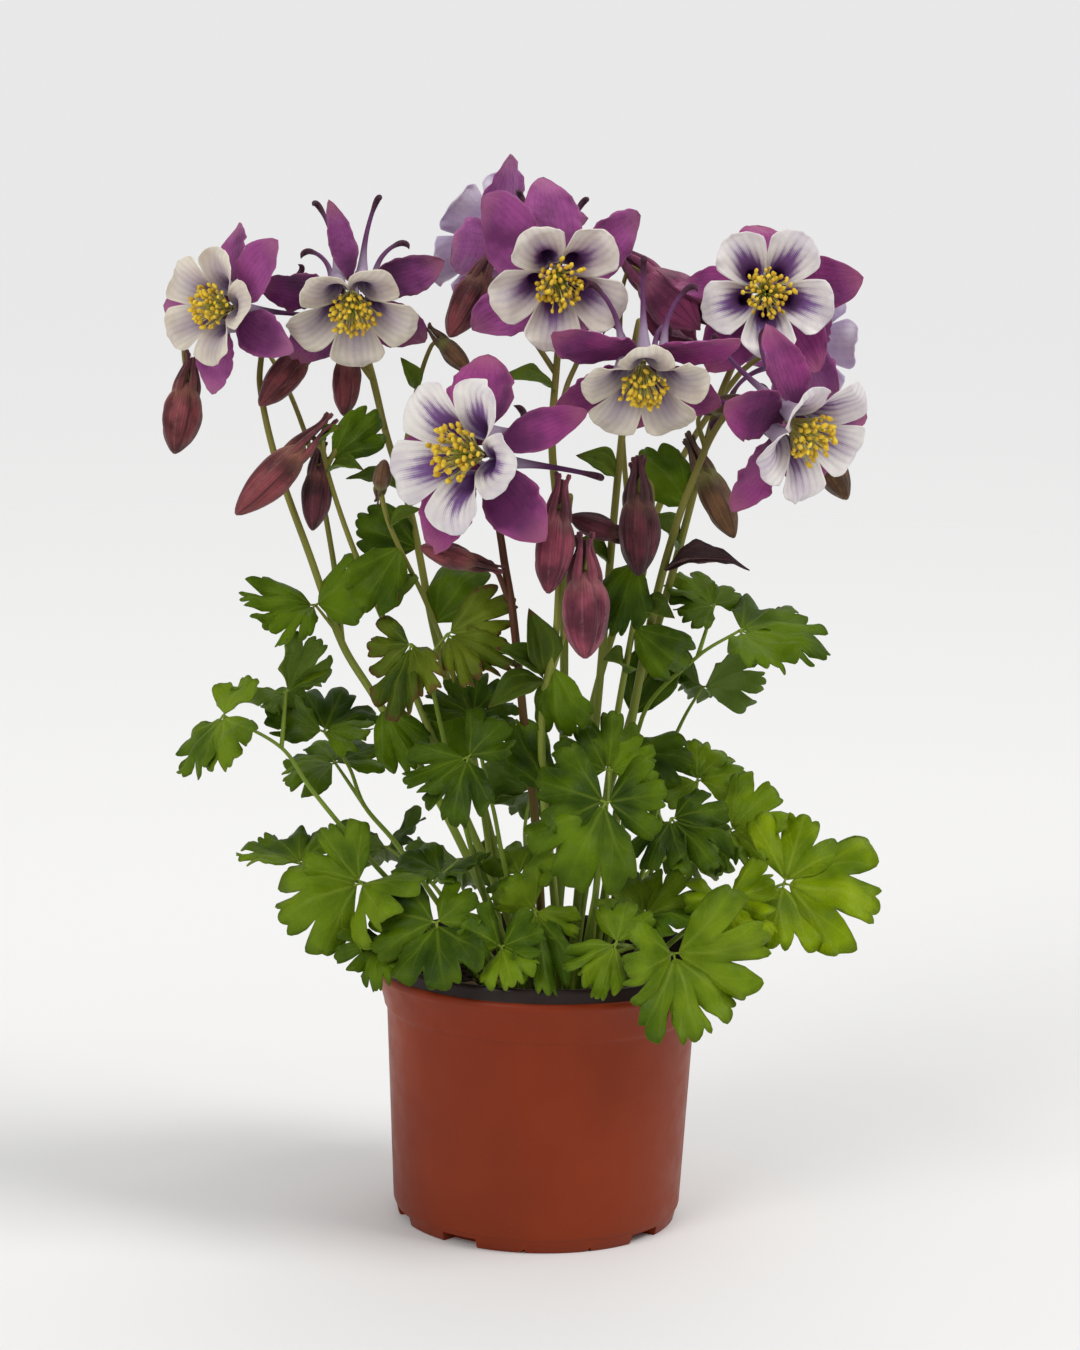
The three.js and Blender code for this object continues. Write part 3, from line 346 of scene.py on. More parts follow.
class Wire:
    """A value that a node puts out. A sum, difference or product with it adds a node."""

    def __init__(self, graph: "Graph", socket: bpy.types.NodeSocket) -> None:
        """Keeps the socket and the graph that it belongs to."""
        self.graph = graph
        self.socket = socket

    def __add__(self, other: object) -> "Wire":
        """Adds another value to this one."""
        return self.graph.math("ADD", self, other)

    def __sub__(self, other: object) -> "Wire":
        """Takes another value from this one."""
        return self.graph.math("SUBTRACT", self, other)

    def __mul__(self, other: object) -> "Wire":
        """Multiplies this value by another."""
        return self.graph.math("MULTIPLY", self, other)

    def __abs__(self) -> "Wire":
        """Drops this value's sign."""
        return self.graph.math("ABSOLUTE", self)

    def scaled(self, factor: object, offset: object) -> "Wire":
        """Multiplies this value by a factor, then adds an offset."""
        return self.graph.math("MULTIPLY_ADD", self, factor, offset)

    def at_least(self, other: object) -> "Wire":
        """The larger of this value and another."""
        return self.graph.math("MAXIMUM", self, other)

    def at_most(self, other: object) -> "Wire":
        """The smaller of this value and another."""
        return self.graph.math("MINIMUM", self, other)

    def rise(self, low: object, high: object, start: float = 0.0, end: float = 1.0) -> "Wire":
        """Goes smoothly from start to end while this value goes from low to high."""
        values = {"Value": self, "From Min": low, "From Max": high, "To Min": start, "To Max": end}
        return self.graph.read("ShaderNodeMapRange", "Result", values, interpolation_type="SMOOTHSTEP")


class Graph:
    """Adds nodes to a node tree and wires them."""

    def __init__(self, tree: bpy.types.NodeTree) -> None:
        """Keeps the tree that the nodes go into."""
        self.tree = tree

    def feed(self, socket: bpy.types.NodeSocket, value: object) -> None:
        """Gives an input its value.

        Args:
            socket: The input.
            value: The wire that feeds it, a plain value, or for a colour its 0xRRGGBB code.
        """
        if isinstance(value, Wire):
            self.tree.links.new(value.socket, socket)
        elif socket.type == "RGBA" and isinstance(value, int):
            socket.default_value = srgb(value)
        else:
            socket.default_value = value

    def add(self, kind: str, values: dict | None = None, **settings: object) -> bpy.types.Node:
        """Adds one node.

        Args:
            kind: Its type.
            values: What feeds each input, by its name or number.
            settings: The node's own properties.

        Returns:
            The node.
        """
        node = self.tree.nodes.new(kind)
        for key, value in settings.items():
            setattr(node, key, value)
        for key, value in (values or {}).items():
            self.feed(node.inputs[key], value)
        return node

    def read(self, kind: str, key: str | int, values: dict | None = None, **settings: object) -> Wire:
        """Adds one node and gives the output that key names."""
        return Wire(self, self.add(kind, values, **settings).outputs[key])

    def math(self, operation: str, *values: object) -> Wire:
        """Works out a sum, product or other operation."""
        return self.read("ShaderNodeMath", 0, dict(enumerate(values)), operation=operation)

    def mix(self, factor: object, first: object, second: object) -> Wire:
        """Mixes two colours."""
        values = {0: factor, 6: first, 7: second}
        return self.read("ShaderNodeMix", 2, values, data_type="RGBA")

    def attribute(self, name: str) -> Wire:
        """Reads one of the mesh's own values."""
        return self.read("ShaderNodeAttribute", "Fac", attribute_name=name)

    def uv(self) -> tuple[Wire, Wire]:
        """Gives the two UV coordinates.

        Returns:
            The coordinate across a sheet and the one along it.
        """
        place = self.read("ShaderNodeUVMap", 0, uv_map="UVMap")
        split = self.add("ShaderNodeSeparateXYZ", {0: place})
        return Wire(self, split.outputs[0]), Wire(self, split.outputs[1])

    def place(self) -> Wire:
        """Gives the place on the object, in metres."""
        return self.read("ShaderNodeTexCoord", "Object")

    def height(self) -> Wire:
        """Gives the height on the object, in metres."""
        return self.read("ShaderNodeSeparateXYZ", 2, {0: self.place()})

    def noise(self, scale: object, detail: float) -> Wire:
        """Gives a soft noise over the object's place."""
        values = {"Vector": self.place(), "Scale": scale, "Detail": detail}
        return self.read("ShaderNodeTexNoise", "Fac", values)


class SharedEffects:
    """The node groups that more than one finish uses, each built once."""

    def __init__(self) -> None:
        """Starts with none built."""
        self.built: dict[str, bpy.types.NodeTree] = {}

    def start(self, name: str, inputs: dict[str, float], outputs: Iterable[str]
              ) -> tuple[Graph, dict[str, Wire], bpy.types.Node]:
        """Begins a group with named sockets.

        Args:
            name: The group's name.
            inputs: Its number inputs with their first values.
            outputs: Its number outputs.

        Returns:
            The graph to fill, the group's inputs by name and the node of its outputs.
        """
        tree = bpy.data.node_groups.new(name, "ShaderNodeTree")
        for key, value in inputs.items():
            socket = tree.interface.new_socket(name=key, in_out="INPUT", socket_type="NodeSocketFloat")
            socket.default_value = value
        for key in outputs:
            tree.interface.new_socket(name=key, in_out="OUTPUT", socket_type="NodeSocketFloat")
        self.built[name] = tree
        graph = Graph(tree)
        given = graph.add("NodeGroupInput").outputs
        return graph, {key: Wire(graph, given[key]) for key in inputs}, graph.add("NodeGroupOutput")

    def place(self, graph: Graph, name: str, values: dict[str, float]) -> list[Wire]:
        """Places a built group in a finish's graph.

        Args:
            graph: The finish's graph.
            name: The group's name.
            values: The finish's own values for the group's inputs.

        Returns:
            The group's outputs.
        """
        node = graph.add("ShaderNodeGroup", values, node_tree=self.built[name])
        return [Wire(graph, socket) for socket in node.outputs]

    def mottle(self, graph: Graph, scale: float, contrast: float) -> list[Wire]:
        """Places broad and fine blotches, as living tissue and moulded plastic have.

        Args:
            graph: The finish's graph.
            scale: How many blotches lie in a metre.
            contrast: How strongly they differ.

        Returns:
            The broad and the fine blotches' values, about 0 to 1.
        """
        if "Mottle" not in self.built:
            inside, given, outputs = self.start(
                "Mottle", {"Scale": 60.0, "Contrast": 1.0}, ["Broad", "Fine"]
            )
            for key, factor in (("Broad", 1.0), ("Fine", 9.0)):
                cloud = inside.noise(given["Scale"] * factor, 3.0)
                inside.feed(outputs.inputs[key], (cloud - 0.5) * given["Contrast"] + 0.5)
        return self.place(graph, "Mottle", {"Scale": scale, "Contrast": contrast})

    def palmate(self, graph: Graph, width: float) -> list[Wire]:
        """Places veins that spread from a leaflet's stalk into its three lobes and their teeth.

        Args:
            graph: The finish's graph.
            width: Half a main vein's width, as a share of the leaflet's.

        Returns:
            The veins' and the gutters' values, 0 to 1.
        """
        if "Palmate veins" not in self.built:
            inside, given, outputs = self.start("Palmate veins", {"Width": 0.02}, ["Vein", "Gutter"])
            u, v = inside.uv()
            off = abs(u - 0.5)
            spread = v.rise(0.2, 1.0)

            def near(start: float, end: float) -> Wire:
                """How near a vein is that runs from start to end across the half fan."""
                return abs(off - spread.scaled(end - start, start)) * v

            main = near(0.0, 0.0).at_most(near(0.3, 0.32))
            side = near(0.0, 0.1).at_most(near(0.3, 0.21)).at_most(near(0.3, 0.43))
            fine = side.rise(given["Width"] * 0.6, 0.0, 0.0, 0.6)
            inside.feed(outputs.inputs["Vein"], main.rise(given["Width"], 0.0).at_least(fine))
            inside.feed(outputs.inputs["Gutter"], main.rise(0.12, 0.0))
        return self.place(graph, "Palmate veins", {"Width": width})

    def parallel(self, graph: Graph, count: float, wander: float, width: float) -> Wire:
        """Places veins that run the length of a petal or a sepal and fork a little on their way.

        Args:
            graph: The finish's graph.
            count: How many veins lie side by side.
            wander: How far they stray, as a share of the width.
            width: Half a vein's width, as a share of the room between two.

        Returns:
            The veins' value, 0 to 1.
        """
        if "Long veins" not in self.built:
            inside, given, outputs = self.start(
                "Long veins", {"Count": 14.0, "Wander": 0.03, "Width": 0.16}, ["Vein"]
            )
            u, _ = inside.uv()
            drift = (inside.noise(30.0, 2.0) - 0.5) * given["Wander"]
            wave = (u + drift) * given["Count"]
            off = abs(inside.math("FRACT", wave) - 0.5)
            inside.feed(outputs.inputs["Vein"], off.rise(given["Width"], 0.0))
        values = {"Count": count, "Wander": wander, "Width": width}
        return self.place(graph, "Long veins", values)[0]


EFFECTS = SharedEffects()


@dataclass(frozen=True)
class Finish:
    """What every finish has: a name, a roughness, a shine, how deep light goes, and a relief."""

    name: str
    roughness: float = 0.5
    shine: float = 0.2
    sheen: float = 0.0
    depth: float = 0.0
    glow: Point = (0.001, 0.001, 0.001)
    relief: float = 0.0003
    relief_share: float = 0.6

    def paint(self, graph: Graph) -> dict[str, Wire]:
        """Paints nothing yet: each finish has its own pattern."""
        return {}

    def material(self) -> bpy.types.Material:
        """Builds the material.

        Returns:
            The material, with the finish's pattern and relief on its shader.
        """
        material = bpy.data.materials.new(self.name)
        material.use_nodes = True
        graph = Graph(material.node_tree)
        shader = material.node_tree.nodes["Principled BSDF"]
        values = self.paint(graph)
        height = values.pop("Height")
        bump = graph.read(
            "ShaderNodeBump", 0,
            {"Height": height, "Distance": self.relief, "Strength": self.relief_share},
        )
        plain = {
            "Roughness": self.roughness,
            "Specular IOR Level": self.shine,
            "Sheen Weight": self.sheen,
            "Subsurface Weight": self.depth,
            "Subsurface Radius": self.glow,
            "Subsurface Scale": 1.0,
            "Normal": bump,
        }
        for key, value in {**plain, **values}.items():
            graph.feed(shader.inputs[key], value)
        return material


@dataclass(frozen=True)
class BladeFinish(Finish):
    """A leaf's blade: green above with pale veins, paler and bluer below."""

    roughness: float = 0.45
    shine: float = 0.1
    depth: float = 0.1
    glow: Point = (0.001, 0.0016, 0.0003)
    deep: int = 0x203602
    fresh: int = 0x5A7406
    vein: int = 0x748628
    below: int = 0x5E742C
    edge: int = 0x4A5E12
    edge_share: float = 0.4
    net: float = 620.0

    def paint(self, graph: Graph) -> dict[str, Wire]:
        """Paints the blade.

        Args:
            graph: The material's graph.

        Returns:
            The colour and the height.
        """
        broad, fine = EFFECTS.mottle(graph, 45.0, 1.4)
        vein, gutter = EFFECTS.palmate(graph, 0.016)
        tone = broad + graph.attribute("shade") * 0.3
        green = graph.mix(tone.rise(0.15, 0.85), self.deep, self.fresh)
        green = graph.mix(gutter * 0.14, green, self.fresh)
        _, v = graph.uv()
        rim = fine.scaled(0.25, v).rise(0.98, 1.14)
        green = graph.mix(rim * self.edge_share, green, self.edge)
        pale = (vein * v.rise(1.0, 0.2, 0.06, 0.34)).at_least(v.rise(0.09, 0.0))
        green = graph.mix(pale, green, self.vein)
        green = graph.mix(graph.attribute("back") * 0.8, green, self.below)
        cells = graph.read(
            "ShaderNodeTexVoronoi", "Distance", {"Scale": self.net, "Vector": graph.place()},
            feature="DISTANCE_TO_EDGE",
        )
        height = cells.rise(0.0, 0.18) * 0.3 - vein * 0.7 - gutter * 0.4 + fine * 0.5
        return {"Base Color": green, "Height": height}


@dataclass(frozen=True)
class StalkFinish(Finish):
    """A stalk: green low down, and browner or maroon where it thins towards the blooms."""

    roughness: float = 0.45
    depth: float = 0.08
    glow: Point = (0.001, 0.0015, 0.0005)
    relief: float = 0.00008
    relief_share: float = 0.5
    low: int = 0x84963A
    high: int = 0x807A38
    flush: int = 0x5A3426
    flush_from: float = 0.24
    flush_to: float = 0.40
    flush_share: float = 0.5

    def paint(self, graph: Graph) -> dict[str, Wire]:
        """Paints the stalk.

        Args:
            graph: The material's graph.

        Returns:
            The colour and the height.
        """
        broad, fine = EFFECTS.mottle(graph, 40.0, 1.6)
        height = graph.height()
        colour = graph.mix(height.rise(0.12, 0.32), self.low, self.high)
        flush = height.rise(self.flush_from, self.flush_to) * broad.rise(0.2, 0.7)
        colour = graph.mix(flush * self.flush_share, colour, self.flush)
        u, _ = graph.uv()
        ridges = graph.math("SINE", u * (5 * math.tau))
        return {"Base Color": colour, "Height": ridges + fine}


@dataclass(frozen=True)
class BudFinish(Finish):
    """A closed bud: five folded sepals, with painted shade in the folds and a painted highlight down
    each.
    """

    sheen: float = 0.15
    depth: float = 0.08
    glow: Point = (0.0015, 0.0005, 0.0006)
    relief_share: float = 0.7
    body: int = 0x92464C
    # fold: painted shade in the pleats' valleys, and the blotches' and veins' darker tone
    fold: int = 0x4A1E22
    # the painted highlight along each sepal, and the bud's paler tip and base
    rib_highlight_and_tip: int = 0xAC6E60
    foot: int = 0x745E32
    foot_share: float = 0.3

    def paint(self, graph: Graph) -> dict[str, Wire]:
        """Paints the bud.

        Args:
            graph: The material's graph.

        Returns:
            The colour and the height.
        """
        broad, fine = EFFECTS.mottle(graph, 90.0, 1.6)
        veins = EFFECTS.parallel(graph, 40.0, 0.04, 0.3)
        u, v = graph.uv()
        off = abs(graph.math("FRACT", u * 5.0) - 0.5)
        colour = graph.mix(broad.rise(0.2, 0.8), self.fold, self.body)
        # Painted shade: the pleats' valleys are darkened with the fold colour.
        colour = graph.mix(off.rise(0.36, 0.5, 0.0, 0.8), colour, self.fold)
        colour = graph.mix(veins * 0.25, colour, self.fold)
        # Painted highlight: a pale stripe down the middle of each sepal.
        ridge_highlight = off.rise(0.1, 0.0) * fine.rise(0.3, 0.6)
        ends = v.rise(0.92, 1.0).at_least(v.rise(0.3, 0.1))
        colour = graph.mix((ridge_highlight * 0.25).at_least(ends * 0.35), colour, self.rib_highlight_and_tip)
        colour = graph.mix(v.rise(0.4, 0.05) * self.foot_share, colour, self.foot)
        return {"Base Color": colour, "Height": fine + veins * 0.7}


@dataclass(frozen=True)
class SepalFinish(Finish):
    """A sepal: violet purple with faint long veins, and a pinker, paler tip and edge."""

    sheen: float = 0.1
    depth: float = 0.15
    glow: Point = (0.0015, 0.0006, 0.0014)
    body: int = 0xA65094
    dark: int = 0x6A2A60
    tip: int = 0xAC688E
    back: int = 0x9A5496

    def paint(self, graph: Graph) -> dict[str, Wire]:
        """Paints the sepal.

        Args:
            graph: The material's graph.

        Returns:
            The colour and the height.
        """
        broad, fine = EFFECTS.mottle(graph, 60.0, 2.4)
        veins = EFFECTS.parallel(graph, 9.0, 0.16, 0.3)
        threads = EFFECTS.parallel(graph, 34.0, 0.12, 0.4)
        u, v = graph.uv()
        tone = broad + graph.attribute("shade") * 0.35 + v.rise(0.1, 0.7, -0.25, 0.15)
        colour = graph.mix(tone.rise(0.1, 0.9), self.dark, self.body)
        lines = veins.at_least(threads * 0.5)
        colour = graph.mix(lines * 0.26, colour, self.dark)
        colour = graph.mix(graph.attribute("back") * 0.6, colour, self.back)
        rim = abs(u - 0.5).rise(0.4, 0.5, 0.0, 0.3)
        colour = graph.mix(v.rise(0.7, 1.0, 0.0, 0.8).at_least(rim), colour, self.tip)
        return {"Base Color": colour, "Height": fine - lines * 0.5}


@dataclass(frozen=True)
class PetalFinish(Finish):
    """A petal: a pale limb, a violet throat that fades softly into it, and a purple spur."""

    depth: float = 0.2
    glow: Point = (0.0016, 0.0012, 0.0014)
    relief: float = 0.00022
    limb: int = 0xF4ECDE
    tint: int = 0xD6CABC
    halo: int = 0x9884AA
    throat: int = 0x74508C
    outside: int = 0x9A88A0
    spur: int = 0x623260
    knob: int = 0x462436
    halo_from: float = 0.16
    halo_share: float = 0.6
    throat_from: float = 0.27
    throat_to: float = 0.42
    streaks: float = 0.05
    narrowing: float = -0.5

    def paint(self, graph: Graph) -> dict[str, Wire]:
        """Paints the petal.

        Args:
            graph: The material's graph.

        Returns:
            The colour and the height.
        """
        broad, fine = EFFECTS.mottle(graph, 70.0, 1.8)
        veins = EFFECTS.parallel(graph, 8.0, 0.22, 0.42)
        threads = EFFECTS.parallel(graph, 31.0, 0.14, 0.42)
        u, v = graph.uv()
        lines = threads.scaled(0.4, veins * 0.6)
        limb = graph.mix(broad.rise(0.2, 0.95), self.limb, self.tint)
        limb = graph.mix(lines * 0.14, limb, self.halo)
        inner = fine.scaled(0.03, lines.scaled(self.streaks, v))
        inner = abs(u - 0.5).scaled(self.narrowing, inner)
        halo = inner.rise(self.halo_from, self.throat_to, 0.0, self.halo_share)
        inside = graph.mix(halo, limb, self.halo)
        inside = graph.mix(inner.rise(self.throat_from, self.throat_to), inside, self.throat)
        outside = graph.mix(v.rise(0.05, 0.4), limb, self.outside)
        outside = graph.mix(v.rise(0.5, 0.72), outside, self.spur)
        outside = graph.mix(v.rise(0.8, 0.86), outside, self.knob)
        colour = graph.mix(graph.attribute("back"), inside, outside)
        return {"Base Color": colour, "Height": lines.scaled(-0.6, fine)}


@dataclass(frozen=True)
class PlainTissue(Finish):
    """Anthers, filaments and carpels: one colour that is deeper in its blotches."""

    roughness: float = 0.6
    depth: float = 0.15
    glow: Point = (0.001, 0.0008, 0.0003)
    relief: float = 0.0001
    relief_share: float = 0.5
    body: int = 0xE8B81C
    dark: int = 0xC08A10

    def paint(self, graph: Graph) -> dict[str, Wire]:
        """Paints the tissue.

        Args:
            graph: The material's graph.

        Returns:
            The colour and the height.
        """
        broad, fine = EFFECTS.mottle(graph, 500.0, 1.8)
        tone = broad + graph.attribute("shade") * 0.3
        return {"Base Color": graph.mix(tone.rise(0.2, 0.8), self.dark, self.body), "Height": fine}


@dataclass(frozen=True)
class PotFinish(Finish):
    """Moulded plastic: satin, with the faint flow and scuffs of a cheap pot."""

    roughness: float = 0.42
    relief: float = 0.00003
    relief_share: float = 0.5
    body: int = 0x903610
    dark: int = 0x7A280A
    # painted shade: the colour that darkens the wall towards its foot
    low: int = 0x5C1E06
    scuff: int = 0x9A5236

    def paint(self, graph: Graph) -> dict[str, Wire]:
        """Paints the plastic.

        Args:
            graph: The material's graph.

        Returns:
            The colour, the roughness and the height.
        """
        broad, fine = EFFECTS.mottle(graph, 14.0, 1.2)
        colour = graph.mix(broad.rise(0.2, 0.8), self.dark, self.body)
        # Painted shade: darker towards the bottom of the pot.
        colour = graph.mix(graph.height().rise(0.1, -0.01, 0.0, 0.4), colour, self.low)
        scuffs = graph.noise(900.0, 4.0).rise(0.64, 0.8)
        return {
            "Base Color": graph.mix(scuffs * 0.35, colour, self.scuff),
            "Roughness": fine.rise(0.1, 0.9, self.roughness - 0.06, self.roughness + 0.1),
            "Height": graph.noise(1600.0, 3.0),
        }


@dataclass(frozen=True)
class SoilFinish(Finish):
    """Damp peat, near black with brown fibres and crumbs."""

    roughness: float = 0.9
    relief: float = 0.0008
    relief_share: float = 0.8
    body: int = 0x1E1612
    crumb: int = 0x4A3626

    def paint(self, graph: Graph) -> dict[str, Wire]:
        """Paints the peat.

        Args:
            graph: The material's graph.

        Returns:
            The colour and the height.
        """
        broad, fine = EFFECTS.mottle(graph, 140.0, 2.0)
        tone = broad + graph.attribute("shade") * 0.4
        return {"Base Color": graph.mix(tone.rise(0.45, 0.95), self.body, self.crumb), "Height": fine}


class Wardrobe:
    """Builds each finish once and hands out its material."""

    def __init__(self) -> None:
        """Starts with nothing built."""
        self.made: dict[str, bpy.types.Material] = {}

    def __call__(self, finish: Finish) -> bpy.types.Material:
        """Gives the material of a finish."""
        if finish.name not in self.made:
            self.made[finish.name] = finish.material()
        return self.made[finish.name]


WARDROBE = Wardrobe()


# ----------------------------------- pot


@dataclass(frozen=True)
class Pot:
    """The round nursery pot: a tapering wall, a flared collar, a foot ring with notches."""

    height: float = 0.1038
    lip_radius: float = 0.0639
    rim_height: float = 0.0983
    rim_radius: float = 0.065
    crease_radius: float = 0.0597
    crease_height: float = 0.0824
    foot_line_radius: float = 0.0554
    foot_line_height: float = 0.0056
    foot_radius: float = 0.0537
    wall: float = 0.0017
    floor: float = 0.0024
    raised_floor: float = 0.0062
    steps: int = 360
    notch_angle: float = 16.0
    notch_height: float = 0.0038
    notch_inner: float = 0.047
    long_foot: float = 9.0
    long_foot_span: float = 66.0
    drain_radius: float = 0.0026
    drain_at: float = 0.0494
    nicks: tuple[float, ...] = (-5.0, 22.0, 115.0, 142.0, 235.0, 262.0)
    nick_size: float = 0.0019

    def profile(self) -> list[tuple[float, float]]:
        """Draws the pot's half section, from the axis below to the axis above.

        Returns:
            The section's corners as (radius, height).
        """
        rim, crease, top = self.rim_radius, self.crease_radius, self.crease_height
        foot, line, up = self.foot_radius, self.foot_line_radius, self.foot_line_height
        lip, edge, inner = self.lip_radius, self.rim_height, self.notch_inner

        def near(radius: float, height: float, *steps: tuple[float, float]) -> list[tuple[float, float]]:
            """The corners that lie off one place by steps out and up, in millimetres."""
            return [(radius + out / MM_PER_METRE, height + rise / MM_PER_METRE) for out, rise in steps]

        wall = [(line + 0.0001 + (crease - 0.0006 - line) * k / 12,
                 up + 0.001 + (top - 0.0024 - up) * k / 12) for k in range(1, 13)]
        return [
            (0.0, 0.0),
            *near(inner, 0.0, (-4, 0)),
            *near(foot, 0.0, (-0.6, 0), (0, 0.5)),
            *near(line, up, (-0.7, -0.9), (-0.5, -0.3), (-0.1, 0), (0.1, 1)),
            *wall,
            *near(crease, top, (-0.4, -0.6), (0.1, -0.1), (0.6, 0.8), (0.9, 2.4), (1.6, 5), (2.8, 8.5)),
            *near(rim, edge, (-0.9, -3.8), (-0.5, -3.1), (-0.1, -2.7), (0, -1.8), (-0.2, -0.8)),
            *near(rim, edge, (-0.6, -0.1)),
            *near(lip, edge, (0.1, 0.1), (0, 0.4)),
            *near(lip, self.height, (0.1, -1.8), (-0.1, -0.9), (-0.5, -0.2), (-0.9, 0)),
            *near(lip, self.height, (-1.5, -0.1), (-2, -0.6), (-2.2, -2)),
            *near(lip, edge, (-2.4, 0)),
            *near(crease - self.wall, top, (0.8, 4), (-0.2, 0)),
            *near(line - self.wall, self.raised_floor, (0, 1), (-1, 0)),
            *near(inner, self.raised_floor, (-2, 0)),
            *near(inner, self.floor, (-4, 0)),
            (0.0, self.floor),
        ]

    def cutter(self) -> bmesh.types.BMesh:
        """Makes what is cut away from the foot.

        Returns:
            The spaces that lift the wall's lower edge off the ground, the drain holes and the nicks.
        """
        cut = bmesh.new()
        spread = (self.long_foot_span + self.notch_angle) / 2
        reach = self.foot_line_radius + 0.004 - self.notch_inner
        middle = self.notch_inner + reach / 2
        width = 2 * middle * math.sin(math.radians(self.notch_angle / 2))
        low, high = -0.002, self.notch_height
        block = Matrix.Translation((0.0, -middle, (high + low) / 2))
        block @= Matrix.Diagonal((width, reach, high - low, 1.0))
        drain = Matrix.Translation((0.0, -self.drain_at, self.raised_floor))
        for third, side in product(range(3), (-1, 1)):
            spin = Matrix.Rotation(math.radians(self.long_foot + 120 * third + side * spread), 4, "Z")
            box = bmesh.ops.create_cube(cut, size=1.0, matrix=spin @ block)
            for vert in box["verts"]:
                outward = vert.co.to_2d().length / middle
                taper = 0.96 if vert.co.z > 0 else 1.04
                aside = spin.inverted() @ vert.co
                aside.x *= outward * taper
                vert.co = spin @ aside
            bmesh.ops.create_cone(
                cut, cap_ends=True, segments=32, radius1=self.drain_radius,
                radius2=self.drain_radius, depth=0.02, matrix=spin @ drain,
            )
        quarter = Matrix.Rotation(math.pi / 2, 4, "X") @ Matrix.Rotation(math.pi / 2, 4, "Z")
        nick = Matrix.Translation((0.0, -self.foot_radius, 0.0)) @ quarter
        for angle in self.nicks:
            bmesh.ops.create_cone(
                cut, cap_ends=True, segments=3, radius1=self.nick_size, radius2=self.nick_size,
                depth=0.006, matrix=Matrix.Rotation(math.radians(angle), 4, "Z") @ nick,
            )
        return cut

    def build(self) -> bpy.types.Object:
        """Turns the section round its axis, cuts the foot and dresses it.

        Returns:
            The pot's piece.
        """
        mesher = Mesher()
        mesh = mesher.mesh
        verts = [mesh.verts.new((radius, 0.0, height)) for radius, height in self.profile()]
        edges = [mesh.edges.new(pair) for pair in zip(verts, verts[1:])]
        bmesh.ops.spin(
            mesh, geom=verts + edges, cent=(0, 0, 0), axis=(0, 0, 1), dvec=(0, 0, 0),
            angle=math.tau, steps=self.steps, use_merge=True,
        )
        bmesh.ops.remove_doubles(mesh, verts=mesh.verts[:], dist=MERGE)
        bmesh.ops.recalc_face_normals(mesh, faces=mesh.faces[:])
        for face in mesh.faces:
            middle = face.calc_center_median()
            radius = middle.to_2d().length
            lip = middle.z > self.rim_height + 0.00005
            wall = face.normal.to_2d().dot(middle.to_2d()) < -0.3 * radius and middle.z > self.floor
            face.material_index = 1 if lip or wall else 0
        lining = PotFinish("pot_lining", roughness=0.3, body=0x352826, dark=0x241A18, scuff=0x5A4A44)
        pot = mesher.piece("pot_shell", Slot.POT, [PotFinish("pot_plastic"), lining], "pot")
        cut = self.cutter()
        tool = bpy.data.meshes.new("foot_notches")
        cut.to_mesh(tool)
        cut.free()
        knife = stand("foot_notches", tool)
        boolean = pot.modifiers.new("foot", "BOOLEAN")
        boolean.operation = "DIFFERENCE"
        boolean.solver = "EXACT"
        boolean.use_self = True
        boolean.object = knife
        shaped = bpy.data.meshes.new_from_object(
            pot.evaluated_get(bpy.context.evaluated_depsgraph_get())
        )
        pot.modifiers.clear()
        pot.data = shaped
        shaped.set_sharp_from_angle(angle=math.radians(40))
        bpy.data.objects.remove(knife)
        return pot

    def inner_radius(self, z: float) -> float:
        """Measures the inside of the pot.

        Args:
            z: A height above the raised floor.

        Returns:
            The inner wall's radius there.
        """
        low = (self.raised_floor, self.foot_line_radius - self.wall)
        high = (self.crease_height, self.crease_radius - 0.0002 - self.wall)
        return low[1] + (high[1] - low[1]) * (z - low[0]) / (high[0] - low[0])


# ---------------------------------- soil


